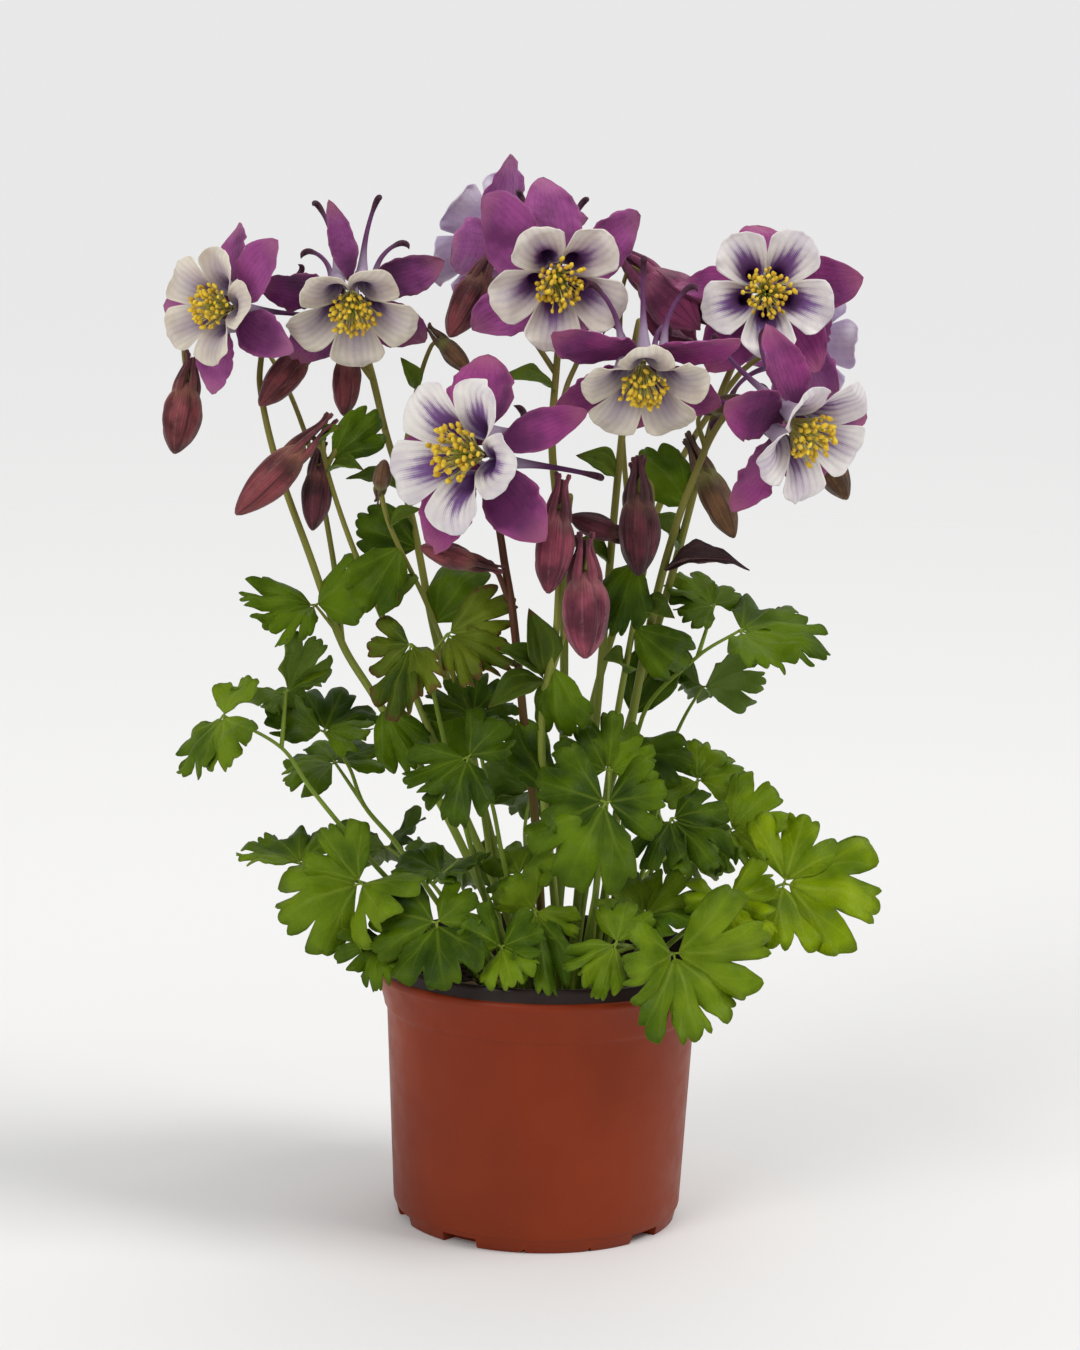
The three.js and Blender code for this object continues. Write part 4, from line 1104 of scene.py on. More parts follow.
@dataclass(frozen=True)
class Soil:
    """The bed of peat that fills the pot, with loose crumbs and scraps of dead leaf on it."""

    pot: Pot
    top: float = 0.085
    gap: float = 0.0004
    crumbs: int = 420
    scraps: int = 16
    seed: int = 5

    def surface_height(self, x: float, y: float) -> float:
        """Shapes the top of the bed.

        Args:
            x: A place to the right of the pot's axis.
            y: The place behind it.

        Returns:
            The bed's height there.
        """
        radius = math.hypot(x, y)
        edge = smooth(radius, 0.05, 0.058)
        lumps = noise.fractal(Vector((x * 60, y * 60, 3.0)), 1.0, 2.0, 3)
        fine = ripple(x * 420, y * 420, 7.0)
        mound = 0.001 * (1 - radius / self.pot.crease_radius)
        return self.top + mound + 0.0022 * lumps + 0.0008 * fine - 0.0028 * edge

    def bed(self, u: float, v: float) -> Vector:
        """Shapes the bed's skin.

        Args:
            u: The turn about the pot's axis, from 0 to 1.
            v: The way from the middle of its top, down the wall, to the middle below.

        Returns:
            The point there.
        """
        turn = -math.tau * u
        rim = self.pot.inner_radius(self.top) - self.gap
        foot = self.pot.inner_radius(self.pot.raised_floor) - self.gap
        low = self.pot.raised_floor + self.gap
        if v <= 0.7:
            return self.spot(rim * math.sin(v / 0.7 * math.pi / 2), turn, 0.0)
        if v <= 0.85:
            share = (v - 0.7) / 0.15
            radius = rim + (foot - rim) * share
            height = self.top - 0.003 + (low - self.top + 0.003) * share
            return Vector((radius * math.cos(turn), radius * math.sin(turn), height))
        radius = foot * (1 - v) / 0.15
        return Vector((radius * math.cos(turn), radius * math.sin(turn), low))

    def spot(self, radius: float, turn: float, lift: float) -> Vector:
        """Finds a place over the bed.

        Args:
            radius: How far it lies from the pot's axis.
            turn: Which way, in radians.
            lift: Its height over the bed.

        Returns:
            The point.
        """
        x, y = radius * math.cos(turn), radius * math.sin(turn)
        return Vector((x, y, self.surface_height(x, y) + lift))

    def build(self) -> None:
        """Builds the bed, its crumbs and its dead scraps."""
        peat = SoilFinish("peat")
        mesher = Mesher()
        mesher.sheet(160, 80, self.bed)
        mesher.piece("soil_bed", Slot.SOIL, [peat], "soil")
        draw = random.Random(self.seed)
        mesher = Mesher()
        for _ in range(self.crumbs):
            radius = 0.056 * math.sqrt(draw.random())
            turn = draw.random() * math.tau
            size = draw.uniform(0.0006, 0.0019)
            shape = Vector((size, size * draw.uniform(0.5, 1), size * draw.uniform(0.4, 0.8)))
            spin = draw.random() * math.tau
            tilt = Matrix.Rotation(spin, 3, Vector((draw.random(), draw.random(), 1)))
            place = self.spot(radius, turn, size * 0.2)
            mesher.pebble(place, shape, tilt, 0, draw.uniform(-1, 1.5))
        mesher.piece("soil_crumbs", Slot.SOIL, [peat])
        mesher = Mesher()
        for _ in range(self.scraps):
            radius = draw.uniform(0.02, 0.054)
            place = self.spot(radius, draw.random() * math.tau, 0.002)
            ahead = Vector((draw.uniform(-1, 1), draw.uniform(-1, 1), draw.uniform(0, 0.5)))
            ahead.normalize()
            side = ahead.cross(Vector((draw.uniform(-0.4, 0.4), draw.uniform(-0.4, 0.4), 1)))
            side.normalize()
            lift = side.cross(ahead)
            length, width = draw.uniform(0.01, 0.02), draw.uniform(0.003, 0.006)
            curl = draw.uniform(60, 160)

            def scrap(u: float, v: float) -> Vector:
                """The scrap's curled face: u across it and v along it."""
                x, y = length * (v - 0.5), width * (1 - 2 * u) * math.sin(math.pi * (0.06 + 0.9 * v))
                return place + ahead * x + side * y + lift * curl * (y * y + 0.3 * x * x)

            mesher.sheet(8, 10, scrap, shade=draw.uniform(-1, 1))
        mesher.thicken(0.0003)
        dead = BladeFinish("dead_leaf", deep=0x4E3620, fresh=0x7A5A34, vein=0x8A6A42,
                           below=0x8A6E4A, edge=0x4A3420, depth=0.0)
        mesher.piece("soil_dead_scraps", Slot.SOIL, [dead])


# -------------------------------- leaves


class LeafTone(Enum):
    """How old a leaf's green is, and its painted light or shade: SHADY is painted shade, BRIGHT painted
    light.
    """

    # Painted shade: a darker copy of the leaf green.
    SHADY = BladeFinish("leaf_shady", deep=0x1A2E02, fresh=0x465E06)
    DEEP = BladeFinish("leaf_deep")
    FRESH = BladeFinish("leaf_fresh", deep=0x365004, fresh=0x6E8612, vein=0x8A9A36)
    # Painted light: a lighter copy of the leaf green.
    BRIGHT = BladeFinish("leaf_bright", deep=0x486200, fresh=0x849A02, vein=0x9AAA38)
    AGED = BladeFinish("leaf_aged", deep=0x263A04, fresh=0x627014, edge=0x5C3422, edge_share=0.8)


LEAF_STALK = StalkFinish("leaf_stalk", low=0x7C9232, high=0x748A2C, flush_share=0.15)

BLADE = 0.00042
PLANTED_TO = 78.0
NECK = 89.0
FAN = math.radians(60)
WIDEST = 0.603

# Where a leaflet's half edge is notched, from its middle (0) to its flank (1); the notch at CLEFT
# parts its middle lobe from its side lobe.
NOTCHES = (-0.1, 0.1, 0.3, 0.6333, 1.0)
CLEFT = 0.3


def planted(root: tuple[float, float]) -> list[Point]:
    """The places of a stalk's planted end and of its neck above the soil, in millimetres."""
    return [(*root, PLANTED_TO), (*root, NECK)]


@dataclass(frozen=True)
class Leaflet:
    """One three-lobed leaflet with round teeth, which fans out from its stalk."""

    base: Vector
    along: Vector
    up: Vector
    reach: float
    width: float
    seed: float
    cleft: float = 0.3
    crimp: float = 0.06
    arch: float = 0.22
    droop: float = 0.25

    def edge(self, u: float) -> float:
        """Draws the leaflet's lobed and toothed edge.

        Args:
            u: The place across its fan, from 0 to 1.

        Returns:
            How far the leaflet reaches there, as a share of its length.
        """
        turn = abs(1 - 2 * u)
        outline = 1 - 0.2 * turn * turn - 0.36 * smooth(turn, 0.68, 1.0)
        lean = 0.1 * ripple(3.0 * u, self.seed, 0.5)
        depth = self.cleft * (1 + 0.9 * ripple(2.0 * u, self.seed, 4.5))
        cleft = clamp(1 - abs(turn - CLEFT) / 0.13) ** 1.5
        low, high = next(pair for pair in zip(NOTCHES, NOTCHES[1:]) if turn <= pair[1])
        tooth = abs((2 * turn - low - high) / (high - low)) ** 2.3
        crimp = self.crimp * (1 + 1.2 * ripple(9.0 * u, self.seed, 8.5))
        return (outline + lean) * (1 - depth * cleft) * (1 - crimp * tooth)

    def surface(self, u: float, v: float) -> Vector:
        """Shapes the leaflet's face.

        Args:
            u: The place across the fan, from 0 to 1.
            v: The place from the stalk to the edge, from 0 to 1.

        Returns:
            The point there.
        """
        across = self.up.cross(self.along)
        reach = v * self.edge(u)
        angle = (1 - 2 * u) * FAN
        x, y = reach * math.cos(angle), reach * math.sin(angle) * self.width
        fold, curl, twist = (ripple(self.seed, 3.1 * k, 11.0) for k in range(3))
        lift = self.arch * x * (1 - x) - self.droop * (1 + 1.4 * curl) * y * y
        lift += 0.6 * fold * (math.hypot(y, 0.12) - 0.12) + 0.3 * twist * x * y
        lift -= 0.18 * clamp(0.5 + curl) * x ** 3
        lift += 0.045 * v * v * math.cos(math.pi * abs(1 - 2 * u) / CLEFT)
        lift += 0.2 * ripple(2.6 * x, 2.6 * y, self.seed) * v
        lift += 0.07 * ripple(6 * x, 6 * y, self.seed + 5) * v * v
        return self.base + self.reach * (self.along * x + across * y + self.up * lift)


@dataclass(frozen=True)
class Trio:
    """A ternate blade: three leaflets that meet at a point and reach to three tips."""

    at: Point
    tips: tuple[Point, Point, Point]
    facing: Point = (0, -0.35, 1)
    via: tuple[Point, ...] = ()
    stalk_from: Point | None = None
    fullness: float = 1.22

    def leaflets(self, seed: float) -> list[Leaflet]:
        """Works out the three leaflets.

        Args:
            seed: What their small waves are drawn from.

        Returns:
            The leaflets, in turn round the blade.
        """
        centre = metres(self.at)
        spokes = [metres(tip) - centre for tip in self.tips]
        units = [spoke.normalized() for spoke in spokes]
        normal = sum((units[k].cross(units[(k + 1) % 3]) for k in range(3)), Vector())
        if normal.dot(Vector(self.facing)) < 0:
            normal.negate()
            spokes = [spokes[0], spokes[2], spokes[1]]
        normal.normalize()
        along = [spoke.normalized() for spoke in spokes]
        between = []
        for k in range(3):
            ahead = along[(k + 1) % 3]
            turn = math.atan2(along[k].cross(ahead).dot(normal), along[k].dot(ahead))
            between.append(turn % math.tau)
        leaflets = []
        for k, spoke in enumerate(spokes):
            across = normal.cross(along[k]).normalized()
            up = along[k].cross(across).normalized()
            room = min(between[k], between[k - 1], 1.4)
            width = min(1.0, 0.66 * math.tan(0.45 * room) / 0.47) * self.fullness
            petiole = 0.05 * spoke.length
            leaflets.append(Leaflet(
                base=centre + along[k] * petiole, along=along[k], up=up,
                reach=spoke.length - petiole, width=width, seed=seed + 1.7 * k,
            ))
        return leaflets

    def blades(self, mesher: Mesher, seed: float, finish: int) -> None:
        """Lays the leaflets' sheets.

        Args:
            mesher: Takes them.
            seed: What their small waves are drawn from.
            finish: Which of the piece's materials they take.
        """
        for leaflet in self.leaflets(seed):
            shade = ripple(seed, leaflet.seed, 2.0) * 1.6
            mesher.sheet(60, 9, leaflet.surface, finish, shade)

    def petioles(self, mesher: Mesher, seed: float) -> None:
        """Lays the short stalks of the leaflets.

        Args:
            mesher: Takes them.
            seed: What the leaflets' small waves are drawn from.
        """
        centre = metres(self.at)
        for leaflet in self.leaflets(seed):
            end = leaflet.base + leaflet.along * 0.04 * leaflet.reach
            line = [centre, (centre + end) / 2, end]
            mesher.tube(line, lambda share: 0.0006 - 0.0003 * share, 6)


@dataclass(frozen=True)
class Leaf:
    """A leaf: a stalk planted in the soil that forks to one or more ternate blades."""

    node: str
    root: tuple[float, float]
    route: tuple[Point, ...]
    trios: tuple[Trio, ...]
    tone: LeafTone = LeafTone.DEEP
    foot: float = 0.00135
    tip: float = 0.00055

    def build(self, seed: int) -> None:
        """Builds the leaf's piece.

        Args:
            seed: What its small variations are drawn from.
        """
        mesher = Mesher()
        for k, trio in enumerate(self.trios):
            trio.blades(mesher, 10.3 * seed + 2.9 * k, 1)
        mesher.thicken(BLADE)
        first, *others = self.trios
        main = vectors([*planted(self.root), *self.route, *first.via, first.at])
        taper = Profile((0, self.foot), (0.6, 0.0009), (1, self.tip))
        mesher.tube(smooth_line(main, 8), taper, 10)
        for trio in others:
            branch = vectors([self.route[-1], *trio.via, trio.at])
            side = Profile((0, 0.0009), (1, self.tip))
            mesher.tube(smooth_line(branch, 8), side, 8)
        for k, trio in enumerate(self.trios):
            trio.petioles(mesher, 10.3 * seed + 2.9 * k)
        mesher.piece(f"{self.node}_grown", Slot.LEAF, [LEAF_STALK, self.tone.value], self.node)


LEAVES = (
    Leaf("leaf_front_right", (15, -21), ((24, -34, 108), (34, -44, 116)), (
        Trio((48, -61, 118), ((58, -76, 88), (82, -66, 124), (33, -84, 116)), (0, -1, 0.8)),
        Trio((38, -43, 127), ((24, -40, 140), (52, -34, 144), (54, -56, 131))),
        Trio((27, -60, 121), ((8, -68, 113), (20, -76, 104), (31, -52, 136)), (0, -1, 1)),
    ), LeafTone.FRESH),
    Leaf("leaf_front", (2, -21), ((1, -32, 110), (-4, -42, 118)), (
        Trio((-15, -57, 118), ((-30, -62, 128), (-10, -74, 108), (0, -64, 126)), (0, -1, 1)),
        Trio((-3, -44, 129), ((14, -52, 122), (3, -68, 104), (-12, -48, 142)), (0, -1, 1)),
    ), LeafTone.FRESH),
    Leaf("leaf_front_left", (-13, -19), ((-26, -30, 106), (-38, -38, 116)), (
        Trio((-39, -55, 126), ((-64, -50, 130), (-35, -74, 106), (-25, -54, 137)), (0, -1, 1)),
        Trio((-58, -44, 117), ((-77, -46, 110), (-62, -58, 100), (-50, -60, 112)), (-0.5, -1, 1)),
    )),
    Leaf("leaf_left", (-21, -9), ((-40, -18, 112), (-62, -26, 132)), (
        Trio((-68, -36, 136), ((-84, -34, 156), (-98, -42, 124), (-58, -60, 128)), (0, -1, 1)),
        Trio((-92, -14, 138), ((-117, -18, 142), (-108, 8, 145), (-84, 8, 148))),
    ), LeafTone.FRESH),
    Leaf("leaf_far_left", (-20, 0),
         ((-40, -10, 112), (-66, -24, 143), (-88, -28, 170), (-99, -28, 185)), (
        Trio((-120, -36, 198), ((-137, -38, 177), (-112, -26, 211), (-116, -56, 184)), (-1, -0.6, 0.6)),
        Trio((-98, -22, 205), ((-86, -18, 226), (-116, -14, 200), (-90, 0, 204)), (-0.6, -0.4, 1)),
    ), LeafTone.FRESH),
    Leaf("leaf_left_middle", (-18, 8), ((-36, 10, 112), (-58, 12, 142), (-70, 12, 156)), (
        Trio((-85, -2, 187), ((-108, -6, 195), (-78, 14, 203), (-66, -8, 188)), via=((-76, 8, 172),)),
        Trio((-82, 20, 171), ((-101, 12, 166), (-92, 40, 178), (-64, 30, 176))),
    )),
    Leaf("leaf_crown_left", (-17, -14), ((-24, -20, 112), (-30, -25, 126)), (
        Trio((-38, -31, 139), ((-55, -20, 144), (-46, -46, 142), (-24, -40, 149))),
    ), LeafTone.SHADY),
    Leaf("leaf_crown", (8, -22), ((4, -27, 112), (-4, -31, 128)), (
        Trio((-9, -33, 140), ((5, -37, 148), (-14, -18, 149), (-20, -38, 132))),
    ), LeafTone.FRESH),
    Leaf("leaf_centre_left", (-7, -18), ((-10, -26, 120), (-16, -32, 148), (-21, -34, 170)), (
        Trio((-29, -44, 186), ((-54, -48, 178), (-16, -42, 200), (-34, -64, 166)), (0, -1, 1.2)),
        Trio((-28, -24, 198), ((-45, -19, 207), (-26, -12, 214), (-12, -30, 196)), (0, -1, 1)),
    ), LeafTone.SHADY),
    Leaf("leaf_centre", (14, -13), ((17, -30, 118), (20, -42, 142), (22, -44, 160)), (
        Trio((22, -52, 172), ((-3, -56, 180), (8, -70, 146), (43, -58, 177)), (0, -1, 1)),
        Trio((23, -38, 181), ((24, -32, 202), (3, -36, 190), (41, -34, 188)), (0, -1, 1)),
    )),
    Leaf("leaf_right", (27, -9), ((44, -20, 108), (60, -28, 124)), (
        Trio((90, -28, 138), ((126, -36, 133), (98, -16, 162), (84, -50, 118)), (0, -1, 1),
            via=((74, -28, 131),)),
        Trio((68, -42, 134), ((86, -46, 142), (52, -48, 136), (72, -62, 124))),
    ), LeafTone.BRIGHT),
    Leaf("leaf_right_middle", (27, 1), ((42, 0, 112), (54, -2, 138)), (
        Trio((70, -10, 154), ((88, -6, 170), (81, -27, 149), (66, -30, 144))),
        Trio((58, 6, 170), ((77, 8, 174), (58, 20, 184), (44, -4, 164))),
    ), LeafTone.FRESH),
    Leaf("leaf_right_front", (21, -14), ((30, -20, 112), (40, -26, 140)), (
        Trio((47, -29, 162), ((68, -24, 166), (64, -48, 147), (38, -48, 146)), (0, -1, 1)),
    )),
    Leaf("leaf_upper_left", (-12, -10),
         ((-20, -20, 120), (-32, -29, 165), (-42, -31, 205), (-44, -32, 220)), (
        Trio((-38, -34, 230), ((-14, -34, 244), (-12, -46, 222), (-28, -54, 215)), (0, -1, 1)),
        Trio((-51, -34, 226), ((-68, -28, 224), (-59, -50, 200), (-42, -54, 212)), (0, -1, 1)),
    ), LeafTone.AGED),
    Leaf("leaf_upper_right", (23, 7), ((28, 6, 130), (36, 2, 195), (56, -6, 220)), (
        Trio((71, -12, 231), ((108, -18, 225), (84, -38, 219), (90, 10, 238))),
        Trio((62, 4, 238), ((48, -6, 236), (46, 14, 248), (68, 22, 246))),
    )),
    Leaf("leaf_right_back", (19, 13), ((38, 18, 130), (46, 28, 172), (52, 23, 190)), (
        Trio((59, 15, 205), ((83, 17, 209), (46, 30, 216), (54, 40, 200))),
    )),
    Leaf("leaf_back_right", (12, 18), ((26, 34, 108), (38, 44, 122)), (
        Trio((52, 50, 134), ((78, 48, 136), (62, 70, 122), (42, 66, 144)), (0.3, 0.5, 1)),
        Trio((30, 60, 128), ((44, 74, 110), (22, 84, 116), (12, 56, 136)), (0, 0.6, 1)),
    )),
    Leaf("leaf_back", (-2, 19), ((-4, 32, 114), (-8, 42, 140)), (
        Trio((-6, 52, 156), ((14, 58, 160), (-8, 76, 142), (-26, 56, 164)), (0, 0.6, 1)),
    ), LeafTone.SHADY),
    Leaf("leaf_back_left", (-14, 15), ((-34, 30, 108), (-44, 38, 120)), (
        Trio((-62, 40, 134), ((-88, 38, 140), (-72, 62, 124), (-50, 56, 142)), (-0.3, 0.5, 1)),
        Trio((-34, 58, 126), ((-16, 64, 128), (-36, 82, 108), (-54, 76, 122)), (0, 0.6, 1)),
    ), LeafTone.SHADY),
)


# -------------------------------- blooms


SEPAL_WIDTH = Profile(
    (3, 1.9), (6, 1.6), (8.5, 3.3), (12, 7.2), (16, 9.8), (20, 10.6), (24, 10.2), (28, 8.6),
    (31.5, 6.7), (34, 4.5), (36, 2.4), (36.9, 1.2), (37.2, 0.0),
)
SEPAL_CUP = Profile((3, 0.0), (9, 0.8), (16, 1.8), (26, 1.8), (37.2, 0.2))

# A sepal's claw starts this far out, its length, and how far out it hinges.
SEPAL_CLAW = 3.0
SEPAL_LENGTH = 34.2
SEPAL_HINGE = 7.0

# The petal's middle line, from its lip (0) to the spur's knob (1), as out from the bloom's axis and
# up along it. Then the half width of the blade, and how far it curls (half a turn is shut).
PETAL_LINE = (
    (0, 25.4, 15.6), (0.10, 22.0, 14.7), (0.20, 18.2, 12.9), (0.29, 14.6, 10.1), (0.36, 12.4, 6.9),
    (0.42, 11.1, 3.6), (0.48, 10.4, 0.2), (0.55, 10.0, -4.4), (0.66, 9.9, -11.0), (0.76, 10.4, -17.6),
    (0.85, 12.3, -24.6), (0.92, 15.8, -31.0), (0.96, 19.5, -34.2), (0.985, 21.4, -34.0),
    (1, 22.3, -32.8),
)
PETAL_OUT = Profile(*((share, out) for share, out, _ in PETAL_LINE))
PETAL_UP = Profile(*((share, up) for share, _, up in PETAL_LINE))
PETAL_HALF = Profile(
    (0, 8.9), (0.08, 10.6), (0.18, 10.9), (0.27, 9.8), (0.35, 8.8), (0.42, 8.6), (0.48, 8.0),
    (0.55, 6.2), (0.66, 4.0), (0.76, 2.6), (0.85, 1.9), (0.90, 1.7), (0.93, 1.7), (0.955, 2.7),
    (0.98, 2.6), (1, 0.0),
)
PETAL_CURL = Profile(
    (0, 0.34), (0.10, 0.40), (0.20, 0.60), (0.28, 0.95), (0.35, 1.6), (0.42, 2.45),
    (0.475, math.pi), (1, math.pi),
)

# Where the petal's rows lie: closer together towards the spur's hooked knob.
PETAL_ROWS = Profile((0, 0.0), (0.8, 0.9), (0.9, 0.965), (1, 1.0))

THROAT_OUT = 11.0
THROAT_UP = 4.0
TISSUE = 0.00032
GOLDEN_TURN = 2.39996


class PetalTone(Enum):
    """How a bloom's petals are coloured."""

    CREAM = PetalFinish(
        "petal_cream", limb=0xECE2CE, tint=0xC6BAA6, halo=0x8E7EA2, throat=0x7E6296, halo_from=-0.04,
        halo_share=0.8, throat_from=0.27, throat_to=0.4, narrowing=-0.28,
    )
    SHADED = PetalFinish(
        "petal_shaded", throat=0x7A5690, halo_from=0.0, halo_share=0.75, throat_from=0.18,
        throat_to=0.32, narrowing=-0.38,
    )
    LAVENDER = PetalFinish("petal_lavender", limb=0xE6E0EC, tint=0xC2B6D4, outside=0xB4A4C8)
    STREAKED = PetalFinish(
        "petal_streaked", limb=0xF2ECE8, tint=0xCEC2CA, halo_from=0.0, halo_share=0.8, streaks=0.14,
        throat_from=0.22, throat_to=0.4,
    )
    DARK_EYED = PetalFinish(
        "petal_dark_eyed", limb=0xF4EEE8, tint=0xD2CACE, halo=0x9482AC, throat=0x785490,
        halo_from=0.06, halo_share=0.7, throat_from=0.15, throat_to=0.28, streaks=0.09,
        narrowing=-0.44,
    )


class SepalTone(Enum):
    """How a bloom's sepals are coloured."""

    VIOLET = SepalFinish("sepal_violet")
    MAGENTA = SepalFinish("sepal_magenta", body=0x9C3E82, dark=0x64265A, tip=0xA85C7E, back=0x9A4C8E)
    PLUM = SepalFinish("sepal_plum", body=0x863E7A, dark=0x52264E, tip=0x9A6072, back=0x8A5080)


@dataclass(frozen=True)
class Bloom:
    """An open bloom: five sepals, five spurred petals and a brush of stamens."""

    node: str
    centre: Point
    looks: Point
    size: float
    turn: float
    sepals: tuple[tuple[float, float], ...]
    petal_tone: PetalTone = PetalTone.CREAM
    sepal_tone: SepalTone = SepalTone.VIOLET
    twists: tuple[float, float, float, float, float] = (8, -10, 6, -6, 10)
    leans: tuple[float, float, float, float, float] = (0, 3, -3, 2, -2)
    slims: tuple[float, float, float, float, float] = (1, 1, 1, 1, 1)
    stamens: int = 58

    def axes(self) -> tuple[Vector, Vector, Vector]:
        """Works out the bloom's own axes.

        Returns:
            Right and up across its face, and out the way it looks.
        """
        out = Vector(self.looks).normalized()
        right = Vector((0, 0, 1)).cross(out).normalized()
        return right, out.cross(right), out

    def place(self, radius: float, side: float, height: float, angle: float) -> Vector:
        """Turns a polar place into a point.

        Args:
            radius: Out from the bloom's axis, in millimetres at size 1.
            side: To the side of that way.
            height: Up along the axis.
            angle: The way's turn about the axis, in degrees.

        Returns:
            The point.
        """
        right, up, out = self.axes()
        c, s = ray(angle)
        flat = right * (radius * c - side * s) + up * (radius * s + side * c)
        return metres(self.centre) + (flat + out * height) * (self.size * MM)

    def pedicel(self) -> list[Vector]:
        """Leads the bloom's stalk between its two lowest spurs and along its axis.

        Returns:
            The last points of the stalk's line.
        """
        gaps = [self.turn + 36 + 72 * k for k in range(5)]
        lowest = min(gaps, key=lambda angle: math.sin(math.radians(angle)))
        return [self.place(12, 0, -24, lowest), self.place(4, 0, -13, lowest),
                self.place(0, 0, -5, lowest), self.place(0, 0, -0.6, lowest)]

    def sepal(self, k: int, seed: float) -> Surface:
        """Shapes a sepal, with its swing, its fold and its twist.

        Args:
            k: Which of the five it is.
            seed: What its small waves are drawn from.

        Returns:
            The sepal's surface.
        """
        swing, fold = self.sepals[k]
        angle = self.turn + 36 + 72 * k
        c, s = ray(fold)
        twist = math.radians(self.twists[k])
        slim = self.slims[k]

        def surface(u: float, v: float) -> Vector:
            """The sepal's place, u across it and v from its claw to its tip."""
            along = SEPAL_CLAW + SEPAL_LENGTH * v
            free = max(along - SEPAL_HINGE, 0.0)
            share = free / (37 - SEPAL_HINGE)
            across = 2 * u - 1
            half = SEPAL_WIDTH(along) * slim
            half *= 1 + 0.09 * ripple(4 * v, across, seed)
            side = -across * half
            cup = SEPAL_CUP(along) * across * across
            cup += 1.6 * ripple(along * 0.12, side * 0.16, seed) * share
            cup += 0.6 * ripple(along * 0.3, side * 0.4, seed + 9) * share
            ruffle = ripple(along * 0.34, 3 * across, seed + 17)
            cup += 2.6 * ruffle * abs(across) ** 3 * math.sin(math.pi * clamp(share * 1.1))
            cup += 1.6 * share * (1 - share) - 2.2 * share ** 3
            turned = twist * share
            side, cup = (side * math.cos(turned) - cup * math.sin(turned),
                         side * math.sin(turned) + cup * math.cos(turned))
            inner = min(along, SEPAL_HINGE)
            radius = inner + free * c - cup * s
            height = free * s + cup * c
            return self.place(radius, side + swing * share, height, angle)

        return surface

    def petal(self, k: int, seed: float) -> Surface:
        """Shapes a petal: its limb is rolled shut behind the throat into the spur.

        Args:
            k: Which of the five it is.
            seed: What its small waves are drawn from.

        Returns:
            The petal's surface.
        """
        angle = self.turn + 72 * k
        lean = math.radians(self.leans[k])
        notch = 0.016 + 0.03 * ripple(seed, 1.0, 3.0)
        breadth = 1 + 0.16 * ripple(seed, 4.0, 9.0)
        reach = 0.035 * ripple(seed, 8.0, 6.0)

        def line(share: float) -> tuple[float, float]:
            """The petal's middle line, bent at its throat by the petal's lean."""
            bend = lean * smooth(share, 0.42, 0.0)
            dr, dh = PETAL_OUT(share) - THROAT_OUT, PETAL_UP(share) - THROAT_UP
            return (THROAT_OUT + dr * math.cos(bend) - dh * math.sin(bend),
                    THROAT_UP + dr * math.sin(bend) + dh * math.cos(bend))

        def surface(u: float, v: float) -> Vector:
            """The petal's place, u across it and v from its lip to its knob."""
            across = 2 * u - 1
            v = PETAL_ROWS(v)
            rounding = 0.17 * (1 - math.cos(math.pi / 2 * across) ** 0.8)
            rounding += notch * math.exp(-(across / 0.16) ** 2)
            rounding += 0.02 * ripple(3.0 * across, seed, 2.0) + clamp(reach, 0.0)
            share = clamp(v + rounding * (1 - v) ** 3)
            out, up = line(share)
            before, after = line(clamp(share - 0.01)), line(clamp(share + 0.01))
            tr, th = after[0] - before[0], after[1] - before[1]
            size = math.hypot(tr, th)
            nr, nh = th / size, -tr / size
            free = smooth(share, 0.34, 0.0)
            curl, half = PETAL_CURL(share), PETAL_HALF(share) * (1 + (breadth - 1) * free)
            radius = half / curl
            beta = curl * across
            depth = radius * (1 - math.cos(beta))
            depth += free * 2.4 * ripple(1.3 * across, 5 * share, seed)
            depth += free * abs(across) ** 3 * 3.6 * ripple(3.4 * across, 9 * share, seed + 4)
            depth -= 1.5 * smooth(share, 0.12, 0.0) * (1 - 0.4 * across * across)
            sway = 9 * free * ripple(seed, 7.0, 1.0)
            return self.place(out + nr * depth, radius * math.sin(beta), up + nh * depth, angle + sway)

        return surface

    def brush(self, mesher: Mesher, draw: random.Random) -> None:
        """Grows the stamens round the carpels.

        Args:
            mesher: Takes them.
            draw: The bloom's own random numbers.
        """
        unit = self.size * MM
        for k in range(self.stamens):
            share = k / (self.stamens - 1)
            angle = math.degrees(k * GOLDEN_TURN)
            lean = math.radians(4 + 27 * math.sqrt(share) + draw.uniform(-4, 4))
            length = (16.8 - 2.6 * share) * draw.uniform(0.74, 1.04)
            root = 0.5 + 1.7 * share
            reach = root + length * math.sin(lean)
            rise = length * math.cos(lean)
            line = [
                self.place(root, 0, 1.5, angle),
                self.place(root + (reach - root) * 0.42, 0, 1.5 + 0.5 * rise, angle),
                self.place(reach, draw.uniform(-0.5, 0.5), 1.5 + rise, angle),
            ]
            mesher.tube(smooth_line(line, 3), lambda s: (0.34 - 0.1 * s) * unit, 5)
            tip = line[-1]
            ahead = (tip - line[-2]).normalized()
            tilt = Vector((draw.uniform(-1, 1), draw.uniform(-1, 1), draw.uniform(-1, 1)))
            axis = (ahead + 0.75 * tilt).normalized()
            turn = axis.to_track_quat("Z", "X").to_matrix()
            size = Vector((0.98, 0.8, 1.62)) * unit * draw.uniform(0.82, 1.12)
            mesher.pebble(tip + ahead * 0.4 * unit, size, turn, 1, draw.uniform(-1, 1))
        for k in range(5):
            angle = 72 * k + 20
            line = [self.place(0.9, 0, 1, angle), self.place(1.6, 0, 7, angle),
                    self.place(1.0, 0, 11.5, angle), self.place(1.6, 0, 14.2, angle)]
            swell = Profile((0, 0.6), (0.3, 0.95), (0.55, 0.6), (0.8, 0.22), (1, 0.16))
            mesher.tube(smooth_line(line, 4), lambda s: swell(s) * unit, 8, 2)

